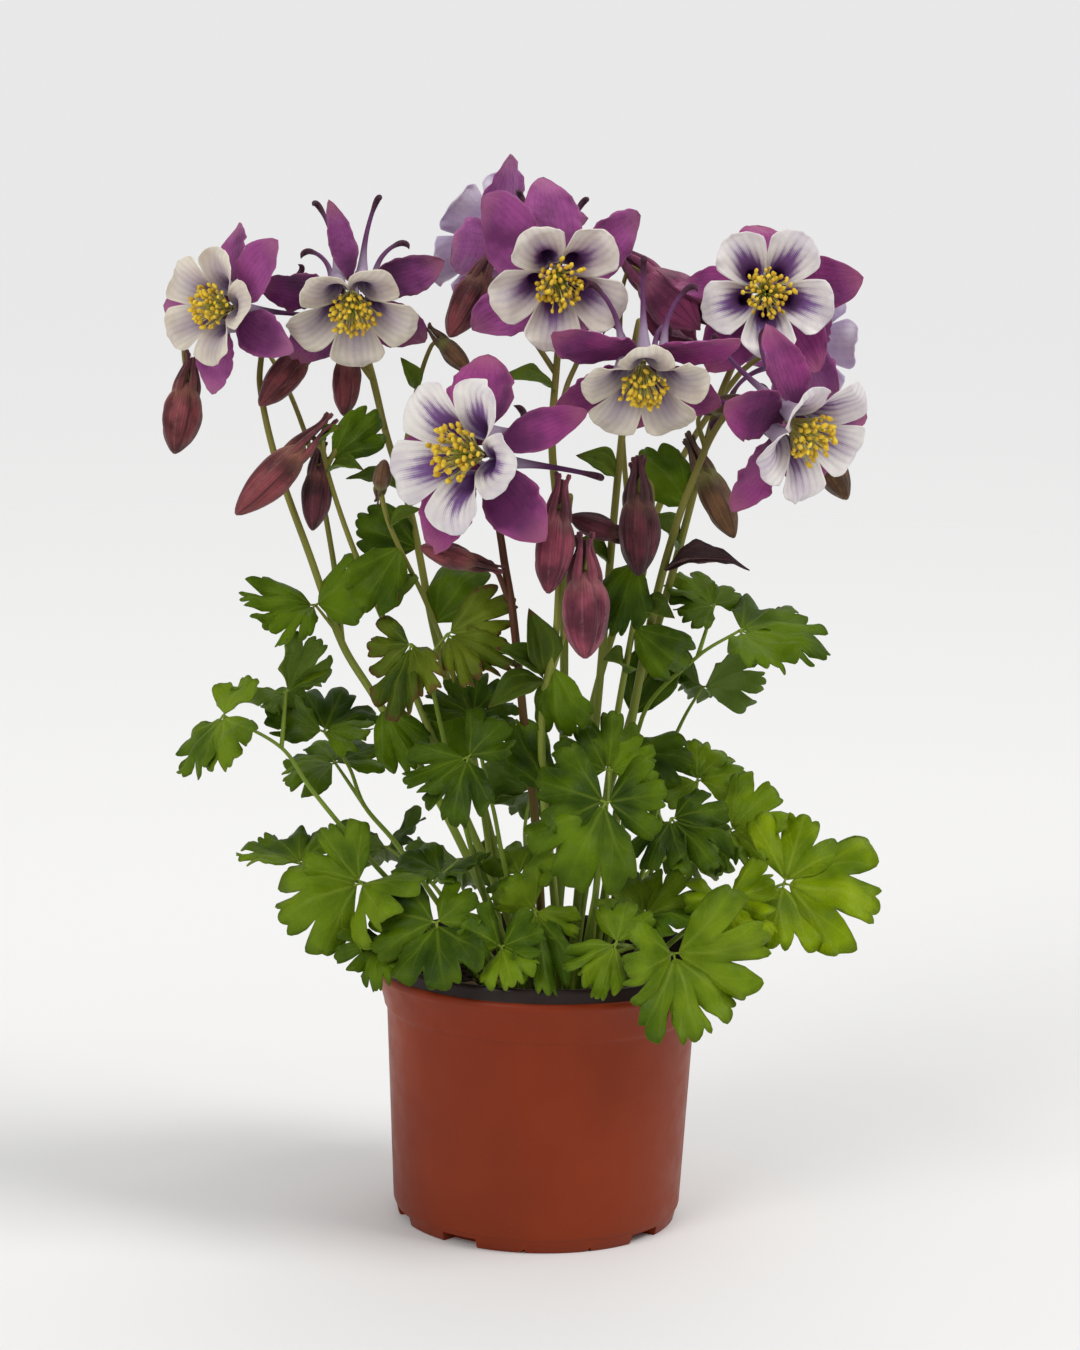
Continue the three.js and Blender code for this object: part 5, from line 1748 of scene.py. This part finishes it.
    def build(self, seed: int) -> None:
        """Builds the bloom's three pieces.

        Args:
            seed: What its small variations are drawn from.
        """
        mesher = Mesher()
        for k in range(5):
            shade = 0.5 * math.sin(2.3 * k + seed)
            mesher.sheet(14, 26, self.sepal(k, 7.1 * seed + 1.3 * k), shade=shade)
        mesher.thicken(TISSUE)
        self.piece(mesher, Slot.SEPAL, self.sepal_tone.value)
        mesher = Mesher()
        for k in range(5):
            shade = 0.5 * math.sin(1.7 * k + seed)
            mesher.sheet(22, 52, self.petal(k, 5.3 * seed + 1.9 * k), shade=shade)
        mesher.thicken(TISSUE)
        self.piece(mesher, Slot.PETAL, self.petal_tone.value)
        mesher = Mesher()
        self.brush(mesher, random.Random(seed))
        self.piece(mesher, Slot.STAMEN, FILAMENT, ANTHER, CARPEL)

    def piece(self, mesher: Mesher, slot: Slot, *finishes: Finish) -> None:
        """Makes the bloom's piece of one slot, which stands for its node of that slot."""
        node = f"{self.node}_{slot.value}s"
        mesher.piece(f"{node}_grown", slot, finishes, node)


ANTHER = PlainTissue("anther", body=0xF8D648, dark=0xD6B036)
FILAMENT = PlainTissue("filament", body=0xE6DC8C, dark=0xC8C068)
CARPEL = PlainTissue("carpel", body=0xB0BC5A, dark=0x909E40)


BLOOMS = (
    Bloom(
        "bloom_left", (-121, -14, 347), (-0.62, -0.77, 0.1), 0.88, 1, ((8, 6), (-6, -12), (0, 10), (4, 4),
        (6, -4)), PetalTone.CREAM, SepalTone.VIOLET,
    ),
    Bloom(
        "bloom_upper_left", (-76, -16, 354), (0.05, -0.8, -0.6), 0.96, 62, ((4, -38), (12, -16), (-6, 20),
        (4, 4), (-4, -6)), PetalTone.CREAM, SepalTone.PLUM, twists=(40, -10, 6, -6, -24),
        slims=(0.5, 0.9, 1, 1, 0.8),
    ),
    Bloom(
        "bloom_middle", (-26, -60, 299), (-0.62, -0.77, 0.1), 1.14, 61, ((9, -26), (12, 0), (0, 4),
        (4, 2), (4, -38)), PetalTone.DARK_EYED, SepalTone.MAGENTA, slims=(1.2, 1, 1, 1, 0.6),
    ),
    Bloom(
        "bloom_top", (-1, -18, 363), (0.12, -0.94, -0.3), 1.02, 49, ((6, -40), (-10, -26), (-6, -4),
        (0, -30), (10, -20)), PetalTone.SHADED, SepalTone.VIOLET, slims=(1, 1.3, 1, 1, 1.1),
    ),
    Bloom(
        "bloom_top_back", (-20, 57, 369), (-0.75, 0.55, 0.32), 1.08, 38, ((-2, 8), (8, -6), (-4, 8),
        (0, 12), (0, 0)), PetalTone.LAVENDER, SepalTone.VIOLET,
    ),
    Bloom(
        "bloom_centre", (31, -50, 332), (0.03, -0.72, -0.69), 0.95, 90, ((16, 10), (8, 14), (0, 2),
        (-12, 4), (-16, 12)), PetalTone.CREAM, SepalTone.MAGENTA,
    ),
    Bloom(
        "bloom_right", (77, 0, 357), (0.02, -0.99, 0.06), 0.99, 56, ((0, -46), (6, -30), (0, -10),
        (0, -6), (-7, 2)), PetalTone.DARK_EYED, SepalTone.MAGENTA, twists=(8, 34, 6, -6, 10),
        slims=(1, 0.7, 1, 1, 1),
    ),
    Bloom(
        "bloom_lower_right", (85, -40, 312), (0.6, -0.68, -0.4), 1.02, 58, ((16, -14), (0, 4), (10, 0),
        (0, 8), (-15, 4)), PetalTone.STREAKED, SepalTone.MAGENTA,
    ),
    Bloom(
        "bloom_right_back", (91, 58, 335), (0.8, 0.58, 0.05), 0.96, 36, ((0, 4), (4, -8), (0, 2), (-4, 6),
        (0, -4)), PetalTone.LAVENDER, SepalTone.VIOLET,
    ),
)


# --------------------------------- stems


class BudTone(Enum):
    """How ripe a bud's colour is."""

    MAROON = BudFinish("bud_maroon")
    DARK = BudFinish("bud_dark", body=0x642834, fold=0x341419, rib_highlight_and_tip=0x88504E, foot_share=0.2)
    RIPE = BudFinish("bud_ripe", body=0x9A4458, fold=0x541E2E, rib_highlight_and_tip=0xB2727C, foot_share=0.2)
    OPENING = BudFinish("bud_opening", body=0xA24674, fold=0x642448, rib_highlight_and_tip=0xB87084, foot_share=0.1)
    GREENISH = BudFinish(
        "bud_greenish", body=0x7A5638, fold=0x463020, rib_highlight_and_tip=0xA48C58, foot=0x7E823E, foot_share=0.8,
    )


BUD_SWELL = Profile(
    (0, 0.30), (0.08, 0.52), (0.2, 0.82), (0.36, 1.0), (0.58, 0.97), (0.78, 0.74), (0.9, 0.46),
    (0.97, 0.24), (1, 0.08),
)
BUD_SPUR_WAY = ((0.24, 0.55), (0.05, 0.56), (-0.12, 0.42), (-0.28, 0.27), (-0.42, 0.36))
BUD_SPUR = Profile((0, 0.20), (0.3, 0.21), (0.7, 0.11), (0.88, 0.10), (0.96, 0.15), (1, 0.10))
LOOSE_SWELL = Profile((0, 0.55), (0.15, 0.8), (0.35, 1.12), (0.65, 1.25), (0.9, 1.0), (1, 0.82))
LOOSE_SPAN = Profile((0, 14), (0.3, 44), (0.6, 48), (0.85, 26), (1, 2))


@dataclass(frozen=True)
class Bud:
    """A closed bud that hangs from its stalk, its five spurs drawn back past the stalk."""

    base: Point
    tip: Point
    radius: float
    tone: BudTone = BudTone.MAROON
    loose: bool = False

    def unfold(self, mesher: Mesher, finish: int) -> None:
        """Lays the five loosened sepals of a bud that is about to open.

        Args:
            mesher: Takes them.
            finish: Which of the piece's materials they take.
        """
        start, end = metres(self.base), metres(self.tip)
        along, length = (end - start).normalized(), (end - start).length
        across = along.cross(Vector((0.3, 1, 0.2))).normalized()
        radius = self.radius / MM_PER_METRE
        for k in range(5 if self.loose else 0):
            flare = 0.35 * math.sin(2.4 * k + 0.6)

            def surface(u: float, v: float) -> Vector:
                """The sepal's place, u across it and v along the bud."""
                angle = 72 * k + (2 * u - 1) * LOOSE_SPAN(v) + 14 * flare
                side = Matrix.Rotation(math.radians(angle), 3, along) @ across
                curl = 0.22 * (2 * u - 1) ** 2 * math.sin(math.pi * v)
                wave = 0.16 * v * ripple(3 * u, 4 * v, 5.0 * k)
                out = LOOSE_SWELL(v) * (1 + flare * v) + curl + wave
                return start + along * (0.08 + 0.97 * v) * length + side * (out * radius)

            mesher.sheet(14, 18, surface, finish, 0.5 * math.sin(2.3 * k))

    def grow(self, mesher: Mesher, finish: int) -> None:
        """Lays the bud's ribbed body and its spurs.

        Args:
            mesher: Takes them.
            finish: Which of the piece's materials they take.
        """
        start, end = metres(self.base), metres(self.tip)
        along = (end - start).normalized()
        length = (end - start).length
        across = along.cross(Vector((0.3, 1, 0.2))).normalized()
        line = [start.lerp(end, k / 26) for k in range(27)]
        seed = self.base[0] + self.base[2]
        radius = self.radius / MM_PER_METRE

        def ribs(turn: float, share: float) -> float:
            """How far the bud's pleats and waves move its skin."""
            pleat = (5 * (turn + 0.08 * share)) % 1.0
            fold = 1 - smooth(pleat, 0.0, 0.18) * (1 - 0.6 * smooth(pleat, 0.25, 1.0))
            wave = ripple(3 * math.cos(math.tau * turn), 3 * math.sin(math.tau * turn),
                                       seed + 3 * share)
            return 1.04 - 0.3 * fold * smooth(share, 0.05, 0.3) + 0.1 * wave

        mesher.tube(line, lambda share: BUD_SWELL(share) * radius, 40, finish, ribs=ribs)
        for k in range(5):
            side = Matrix.Rotation(math.radians(72 * k + 36), 3, along) @ across
            reach = 1 + 0.12 * math.sin(2.1 * k + seed)
            route = [
                start + along * (shift * length * reach) + side * (out * radius)
                for shift, out in BUD_SPUR_WAY
            ]
            mesher.tube(smooth_line(route, 4), lambda s: BUD_SPUR(s) * radius, 8, finish)


BRACT_WIDTH = Profile((0, 0.12), (0.12, 0.45), (0.4, 1.0), (0.62, 0.86), (0.85, 0.36), (1, 0.0))


@dataclass(frozen=True)
class Bract:
    """A simple bract: one pointed oval blade, folded along its rib."""

    foot: Point
    tip: Point
    facing: Point
    width: float = 0.22

    def axes(self) -> tuple[Vector, Vector, Vector, float]:
        """Works out the blade's own axes.

        Returns:
            Its ways along, across and up, and how far it reaches.
        """
        spoke = metres(self.tip) - metres(self.foot)
        along = spoke.normalized()
        across = Vector(self.facing).cross(along).normalized()
        return along, across, along.cross(across), spoke.length

    def lay(self, mesher: Mesher, seed: float, finish: int) -> None:
        """Lays the bract's sheet.

        Args:
            mesher: Takes it.
            seed: What its small waves are drawn from.
            finish: Which of the piece's materials it takes.
        """
        start = metres(self.foot)
        along, across, up, reach = self.axes()

        def surface(u: float, v: float) -> Vector:
            """The bract's place, u across it and v along it."""
            side = (1 - 2 * u) * self.width * BRACT_WIDTH(v)
            lift = 0.5 * v * (1 - v) + 0.5 * abs(side) + 0.5 * side * side
            lift += 0.05 * ripple(5 * v, 6 * side, seed)
            return start + reach * (along * v + across * side + up * lift)

        mesher.sheet(10, 16, surface, finish)


@dataclass(frozen=True)
class Blade(Bract):
    """A broad stem leaf that sits on its stem without a stalk, with shallow lobes."""

    width: float = 0.4

    def lay(self, mesher: Mesher, seed: float, finish: int) -> None:
        """Lays the blade's sheet.

        Args:
            mesher: Takes it.
            seed: What its small waves are drawn from.
            finish: Which of the piece's materials it takes.
        """
        along, _, up, reach = self.axes()
        leaflet = Leaflet(
            base=metres(self.foot), along=along, up=up, reach=reach, width=self.width / WIDEST,
            seed=seed, cleft=0.11, crimp=0.05, arch=0.5,
        )
        mesher.sheet(60, 10, leaflet.surface, finish, 1.6 * ripple(seed, 5.0, 2.0))


class BractTone(Enum):
    """The colour of a stem's bracts."""

    GREEN = BladeFinish("bract_green", deep=0x34460E, fresh=0x5A6C1C, edge=0x54301E, edge_share=0.8)
    MAROON = BladeFinish("bract_maroon", deep=0x2E2024, fresh=0x4A3436, vein=0x5E4A48, below=0x5C3A40,
                         edge=0x3A1E24)


class StemTone(Enum):
    """The colour of a flowering stem."""

    GREEN = StalkFinish("stem_green")
    MAROON = StalkFinish("stem_maroon", low=0x6A5A26, high=0x4E241E, flush_from=0.15, flush_to=0.25,
                         flush_share=0.85)


@dataclass(frozen=True)
class Branch:
    """A side branch, which may carry a bloom."""

    route: tuple[Point, ...]
    bloom: str | None = None


@dataclass(frozen=True)
class Stem:
    """A flowering stem: its main stalk, side branches, bracts, leaves and closed buds."""

    node: str
    root: tuple[float, float]
    route: tuple[Point, ...]
    thick: float = 1.75
    bloom: str | None = None
    branches: tuple[Branch, ...] = ()
    buds: tuple[Bud, ...] = ()
    bracts: tuple[Bract, ...] = ()
    blades: tuple[Blade, ...] = ()
    trios: tuple[Trio, ...] = ()
    tone: StemTone = StemTone.GREEN
    bract_tone: BractTone = BractTone.GREEN

    def finishes(self) -> list[Finish]:
        """Lists the stem's finishes: its stalk's, its leaves', its bracts' and its buds'."""
        tones = [bud.tone.value for bud in self.buds] or [BudTone.MAROON.value]
        return [self.tone.value, LeafTone.DEEP.value, self.bract_tone.value, *tones]

    def build(self, seed: int, blooms: dict[str, Bloom]) -> None:
        """Builds the stem's piece.

        Args:
            seed: What its small variations are drawn from.
            blooms: The blooms by name, to lead their stalks to them.
        """
        mesher = Mesher()
        for k, bract in enumerate(self.bracts):
            bract.lay(mesher, seed + 0.7 * k, 2)
        for k, blade in enumerate(self.blades):
            blade.lay(mesher, 5.7 * seed + 1.3 * k, 1)
        for k, trio in enumerate(self.trios):
            trio.blades(mesher, 3.1 * seed + k, 1)
        for k, bud in enumerate(self.buds):
            bud.unfold(mesher, 3 + k)
        mesher.thicken(BLADE)
        main = vectors([*planted(self.root), *self.route])
        if self.bloom:
            main += blooms[self.bloom].pedicel()
        thick = self.thick / MM_PER_METRE
        taper = Profile((0, thick), (0.5, 0.8 * thick), (0.93, 0.0009), (1, 0.0013))
        mesher.tube(smooth_line(main, 8), taper, 12)
        for branch in self.branches:
            side = vectors(branch.route)
            if branch.bloom:
                side += blooms[branch.bloom].pedicel()
            thin = Profile((0, 0.00115), (0.9, 0.00078), (1, 0.0011))
            mesher.tube(smooth_line(side, 8), thin, 10)
        for trio in self.trios:
            line = vectors([trio.stalk_from, trio.at])
            mesher.tube(smooth_line(line, 4), lambda s: 0.0009 - 0.0004 * s, 8)
            trio.petioles(mesher, seed)
        for k, bud in enumerate(self.buds):
            bud.grow(mesher, 3 + k)
        mesher.piece(f"{self.node}_grown", Slot.STEM, self.finishes(), self.node)


STEMS = (
    Stem(
        "stem_left", (-9, -3), ((-20, -4, 120), (-45, -6, 170), (-67, -8, 204), (-78, -10, 222),
            (-91, -10, 256), (-104, -6, 290), (-111, 0, 318)),
        bloom="bloom_left",
        branches=(
            Branch(((-78, -10, 222), (-83, 0, 255), (-94, 16, 296), (-112, 30, 330), (-131, 24, 344),
                (-140, 6, 334), (-138, -2, 318))),
        ),
        buds=(Bud((-138, -2, 318), (-142, -8, 292), 7.2),),
        trios=(
            Trio((-88, -14, 237), ((-117, -20, 240), (-100, -32, 228), (-72, -24, 250)), (0, -1, 1),
                stalk_from=(-78, -10, 224)),
        ),
        blades=(Blade((-62.6, -7.6, 197.2), (-48.3, -21.9, 176.6), (-0.4, -1, 1), 0.4),),
    ),
    Stem(
        "stem_left_buds", (-5, -9), ((-14, -10, 120), (-36, -12, 170), (-55, -12, 215), (-64, -15, 236),
            (-75, -19, 262), (-83, -23, 286), (-86, -26, 300)),
        branches=(
            Branch(((-85, -24, 296), (-91, -30, 303), (-92, -32, 297))),
            Branch(((-84, -23, 290), (-81, -20, 296), (-83, -20, 293), (-88, -21, 289))),
        ),
        buds=(
            Bud((-92, -32, 298), (-116, -38, 273), 6.6),
            Bud((-87, -21, 290), (-89, -22, 266), 5.6, BudTone.DARK),
        ),
        bracts=(
            Bract((-84, -23, 288), (-70, -30, 290), (0, -0.5, 1), 0.3),
            Bract((-86, -25, 298), (-78, -34, 306), (0, -1, 1)),
        ),
        blades=(Blade((-82.5, -21.5, 293), (-65.3, -6.3, 307.7), (0.5, -1, 0.4), 0.35),),
    ),
    Stem(
        "stem_upper_left", (-8, 5), ((-14, 6, 120), (-30, 4, 180), (-43, 3, 222), (-54, 3, 272),
            (-63, 6, 298), (-71, 10, 326)),
        bloom="bloom_upper_left",
        branches=(
            Branch(((-69, 9, 320), (-84, 13, 338), (-93, 7, 340), (-94, 0, 331))),
            Branch(((-64, 6, 302), (-72, 14, 330), (-77, 16, 336), (-79, 14, 329))),
            Branch(((-58, 4, 284), (-52, 0, 318), (-47, -2, 334), (-43, -4, 337))),
        ),
        buds=(
            Bud((-94, 0, 331), (-110, -12, 311), 6),
            Bud((-79, 14, 330), (-80, 12, 306), 5.5),
            Bud((-44, -4, 337), (-32, -8, 325), 3.8, BudTone.GREENISH),
        ),
        bracts=(
            Bract((-56, 3, 278), (-78, -4, 284), (0, -0.6, 1)),
            Bract((-52, 0, 318), (-58, -8, 330), (0, -1, 0.6)),
        ),
        blades=(Blade((-50.9, 3, 257.7), (-73.7, -8.8, 267.8), (-0.2, -1, 0.2), 0.4),),
    ),
    Stem(
        "stem_middle", (1, -10), ((-1, -14, 124), (-4, -20, 160), (-8, -27, 190), (-14, -37, 240),
            (-18, -38, 262), (-20, -38, 280)),
        bloom="bloom_middle", thick=1.9, tone=StemTone.MAROON,
        branches=(Branch(((-15, -37, 243), (-22, -43, 258), (-28, -45, 258))),),
        buds=(Bud((-27, -45, 258), (-48, -49, 264), 4.6),),
    ),
    Stem(
        "stem_thin_left", (-13, 2), ((-18, 3, 120), (-27, -1, 175), (-36, -5, 210), (-46, -15, 238),
            (-60, -24, 268), (-64, -26, 282)),
        thick=1.4,
        buds=(Bud((-64, -26, 282), (-62, -34, 294), 3.4, BudTone.GREENISH),),
        bracts=(
            Bract((-51.6, -18.6, 250), (-56, -34, 242), (0, -1, 1)),
            Bract((-60, -24, 268), (-48, -32, 276), (0, -1, 1)),
        ),
        blades=(
            Blade((-56.5, -21.8, 260.5), (-71.7, -33.6, 238.3), (0.4, -1, 0.4), 0.41),
            Blade((-43.5, -12.5, 231), (-25.5, -2.6, 252.8), (0, -1, 0.8), 0.44),
            Blade((-34.2, -4.2, 203), (-40.1, -6.4, 174.8), (0.1, -1, 0.4), 0.42),
        ),
    ),
    Stem(
        "stem_top", (4, 3), ((6, 4, 140), (6, 5, 200), (4, 6, 254), (-1, 6, 298), (0, 9, 326)),
        bloom="bloom_top", thick=1.9,
        branches=(
            Branch(((-1, 6, 298), (4, 26, 318), (10, 38, 338)), "bloom_top_back"),
            Branch(((0, 9, 324), (-14, 12, 344), (-24, 9, 358), (-29, 3, 361))),
        ),
        buds=(Bud((-29, 3, 361), (-40, -8, 338), 6.4),),
        bracts=(Bract((0, 8, 318), (-22, 0, 322), (0, -0.6, 1)),),
    ),
    Stem(
        "stem_centre", (11, -5), ((14, -6, 140), (18, -6, 190), (21, -8, 240), (24, -12, 290),
            (27, -14, 325), (30, -20, 346)),
        bloom="bloom_centre",
        bracts=(
            Bract((22, -9, 255), (6, -12, 262), (0, -0.6, 1), 0.34),
            Bract((24, -12, 288), (8, -18, 296), (0, -1, 0.8), 0.3),
        ),
    ),
    Stem(
        "stem_right", (12, 5), ((18, 6, 140), (32, 6, 195), (46, 6, 250), (54, 8, 284), (62, 14, 316),
            (72, 20, 342)),
        bloom="bloom_right",
        branches=(
            Branch(((53, 8, 280), (57, 2, 293), (55, -4, 297), (55, -7, 290))),
            Branch(((57, 10, 298), (54, 8, 308), (57, 6, 313))),
            Branch(((60, 12, 308), (79, 10, 315), (92, 4, 312), (97, -2, 302))),
        ),
        buds=(
            Bud((55, -6, 292), (68, -12, 266), 6, BudTone.GREENISH),
            Bud((57, 6, 313), (74, 3, 316), 4.4, BudTone.GREENISH),
            Bud((97, -2, 302), (110, -8, 281), 6, BudTone.GREENISH),
        ),
        bracts=(Bract((48, 6, 258), (34, -2, 272), (0, -0.6, 1), 0.34),),
        blades=(
            Blade((32, 6, 195), (43.9, 8.7, 220.5), (0, -1, 0.8), 0.42),
            Blade((52, 7.5, 275.5), (32.9, 8.1, 296), (0.2, -1, 0.4), 0.44),
        ),
    ),
    Stem(
        "stem_lower_right", (19, 2), ((24, -2, 130), (31, -8, 190), (38, -16, 236), (43, -19, 260),
            (50, -20, 284)),
        bloom="bloom_lower_right", thick=1.9, bract_tone=BractTone.MAROON,
        bracts=(
            Bract((42, -18.5, 254), (67, -32, 260), (0, -0.6, 1), 0.2),
            Bract((42, -18.5, 254), (74, -16, 254), (0, -0.4, 1), 0.2),
        ),
        blades=(Blade((30.1, -7.2, 182.5), (56.1, -10.1, 180.2), (0.5, -1, 0.6), 0.43),),
    ),
    Stem(
        "stem_back", (5, 11), ((8, 14, 140), (18, 20, 200), (34, 28, 254), (50, 38, 292)),
        bloom="bloom_right_back",
        branches=(Branch(((32, 27, 248), (26, 28, 300), (24, 30, 350), (27, 29, 364), (32, 27, 362))),),
        buds=(Bud((31, 28, 363), (54, 22, 342), 8.6, BudTone.OPENING, loose=True),),
    ),
    Stem(
        "stem_front_buds", (7, -12), ((4, -22, 130), (-1, -32, 172), (-2, -39, 206), (2, -43, 230),
            (3, -44, 256), (6, -44, 280), (6, -49, 284), (2, -53, 279)),
        branches=(
            Branch(((-2, -39, 208), (5, -42, 232), (10, -44, 256), (13, -50, 264), (12, -54, 257))),
        ),
        buds=(
            Bud((2, -53, 279), (-1, -56, 249), 7, BudTone.RIPE),
            Bud((12, -54, 257), (13, -59, 226), 8.8, BudTone.RIPE),
        ),
        bracts=(
            Bract((-2, -40, 217), (-8, -44, 242), (0.4, -1, 0.2), 0.26),
            Bract((-2, -40, 216), (-20, -50, 228), (0, -1, 1), 0.24),
            Bract((-2, -40, 215), (-22, -53, 206), (0, -1, 1), 0.24),
        ),
        blades=(
            Blade((1.5, -40.5, 220), (7.5, -40.6, 192.2), (-0.5, -1, 0.6), 0.42),
            Blade((-1, -32, 172), (-14.6, -34.4, 198.4), (0, -1, 1.1), 0.39),
        ),
    ),
    Stem(
        "stem_right_buds", (18, -4), ((20, -9, 130), (25, -15, 190), (32, -22, 240), (36, -26, 268),
            (36, -27, 286), (32, -31, 289), (31, -33, 283)),
        thick=1.5,
        branches=(Branch(((33, -24, 252), (29, -28, 264), (25, -31, 268))),),
        buds=(
            Bud((31, -33, 284), (32, -38, 254), 7.7, BudTone.DARK),
            Bud((25, -31, 268), (6, -35, 275), 4.6, BudTone.DARK),
        ),
        bracts=(
            Bract((28.5, -18.5, 215), (20, -32, 222), (0, -1, 1), 0.34),
            Bract((32, -22, 240), (46, -34, 238), (0, -1, 1), 0.3),
        ),
        blades=(
            Blade((31, -26, 258), (22.8, -36.1, 231.1), (0.2, -1, 0.8), 0.4),
            Blade((31, -21, 232.9), (52.5, -13.5, 215.6), (0.2, -1, -0.1), 0.37),
        ),
    ),
)


# -------------------------------- studio


@dataclass(frozen=True)
class Studio:
    """A plain pale floor, soft light, and the camera."""

    camera_at: Point = (0.0, -1.25, 0.404)
    pitch: float = 8.8
    roll: float = 1.38
    pan: float = -0.155
    lens: float = 88.8
    sensor: float = 36.0
    floor_radius: float = 12.0
    paper: int = 0xEEEEEE
    backdrop: float = 0.81
    surround: float = 0.5

    def place_camera(self) -> None:
        """Sets the camera where it looks at the plant's fuller side, a little from above."""
        pitch, roll, pan = (math.radians(value) for value in (self.pitch, self.roll, self.pan))
        level_reach = math.cos(pitch)
        ahead = Vector((math.sin(pan) * level_reach, math.cos(pan) * level_reach, -math.sin(pitch)))
        level = Vector((math.cos(pan), -math.sin(pan), 0.0))
        up = level.cross(ahead)
        right = level * math.cos(roll) + up * math.sin(roll)
        above = up * math.cos(roll) - level * math.sin(roll)
        data = bpy.data.cameras.new("camera")
        data.lens = self.lens
        data.sensor_width = self.sensor
        data.clip_end = 50.0
        camera = stand("camera", data)
        turn = Matrix((right, above, -ahead)).transposed().to_4x4()
        camera.matrix_world = Matrix.Translation(self.camera_at) @ turn
        bpy.context.scene.camera = camera

    def light(self, name: str, place: Point, spread: float, power: float, tint: Point) -> None:
        """Hangs a far, broad light that shines at the plant's middle.

        Args:
            name: The light's name.
            place: Where it shines from.
            spread: How broad it looks, in degrees.
            power: How strongly it shines.
            tint: Its colour.
        """
        data = bpy.data.lights.new(name, "SUN")
        data.angle = math.radians(spread)
        data.energy = power
        data.color = tint
        lamp = stand(name, data)
        aim = Vector((0.0, 0.0, 0.2)) - Vector(place)
        turn = aim.to_track_quat("-Z", "Y").to_matrix().to_4x4()
        lamp.matrix_world = Matrix.Translation(place) @ turn

    def lay_floor(self) -> None:
        """Lays the round pale floor, which fades out at its rim."""
        disc = bmesh.new()
        bmesh.ops.create_circle(disc, cap_ends=True, segments=96, radius=self.floor_radius)
        data = bpy.data.meshes.new("floor")
        disc.to_mesh(data)
        disc.free()
        floor = stand("floor", data)
        material = bpy.data.materials.new("floor_paper")
        material.use_nodes = True
        graph = Graph(material.node_tree)
        shader = material.node_tree.nodes["Principled BSDF"]
        for key, value in (("Base Color", self.paper), ("Roughness", 0.9), ("Specular IOR Level", 0.1)):
            graph.feed(shader.inputs[key], value)
        far = graph.read("ShaderNodeVectorMath", "Value", {0: graph.place()}, operation="LENGTH")
        near = graph.math("DIVIDE", 1.0, far + 1.25)
        graph.feed(shader.inputs["Alpha"], near.rise(0.085, 0.58))
        data.materials.append(material)

    def hang_backdrop(self) -> None:
        """Surrounds everything with even light, and shows a pale grey behind the plant."""
        world = bpy.data.worlds.new("studio")
        world.use_nodes = True
        bpy.context.scene.world = world
        graph = Graph(world.node_tree)
        world.node_tree.nodes.clear()
        seen = graph.read("ShaderNodeLightPath", "Is Camera Ray")
        lit, shown = (
            graph.read("ShaderNodeBackground", 0, {"Color": (1, 1, 1, 1), "Strength": strength})
            for strength in (self.surround, self.backdrop)
        )
        both = graph.read("ShaderNodeMixShader", 0, {0: seen, 1: lit, 2: shown})
        graph.add("ShaderNodeOutputWorld", {"Surface": both})

    def build(self) -> None:
        """Sets up the whole studio."""
        self.place_camera()
        self.lay_floor()
        self.hang_backdrop()
        self.light("key", (1.2, -0.35, 1.55), 26.0, 1.4, (1.0, 0.985, 0.96))
        self.light("fill", (-0.8, -1.1, 1.0), 30.0, 1.04, (1.0, 0.995, 0.985))
        self.light("back", (0.2, 1.0, 1.6), 40.0, 0.37, (1.0, 1.0, 1.0))
        view = bpy.context.scene.view_settings
        view.view_transform = "Standard"
        view.look = "None"


def main() -> None:
    """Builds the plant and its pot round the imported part, then the studio."""
    logging.basicConfig(level=logging.INFO, format="%(message)s")
    pot = Pot()
    pot.build()
    Soil(pot).build()
    for seed, leaf in enumerate(LEAVES):
        leaf.build(seed)
    blooms = {bloom.node: bloom for bloom in BLOOMS}
    for seed, stem in enumerate(STEMS):
        stem.build(seed, blooms)
    for seed, bloom in enumerate(BLOOMS):
        bloom.build(seed + 1)
    Studio().build()
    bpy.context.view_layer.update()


if __name__ == "__main__":
    main()
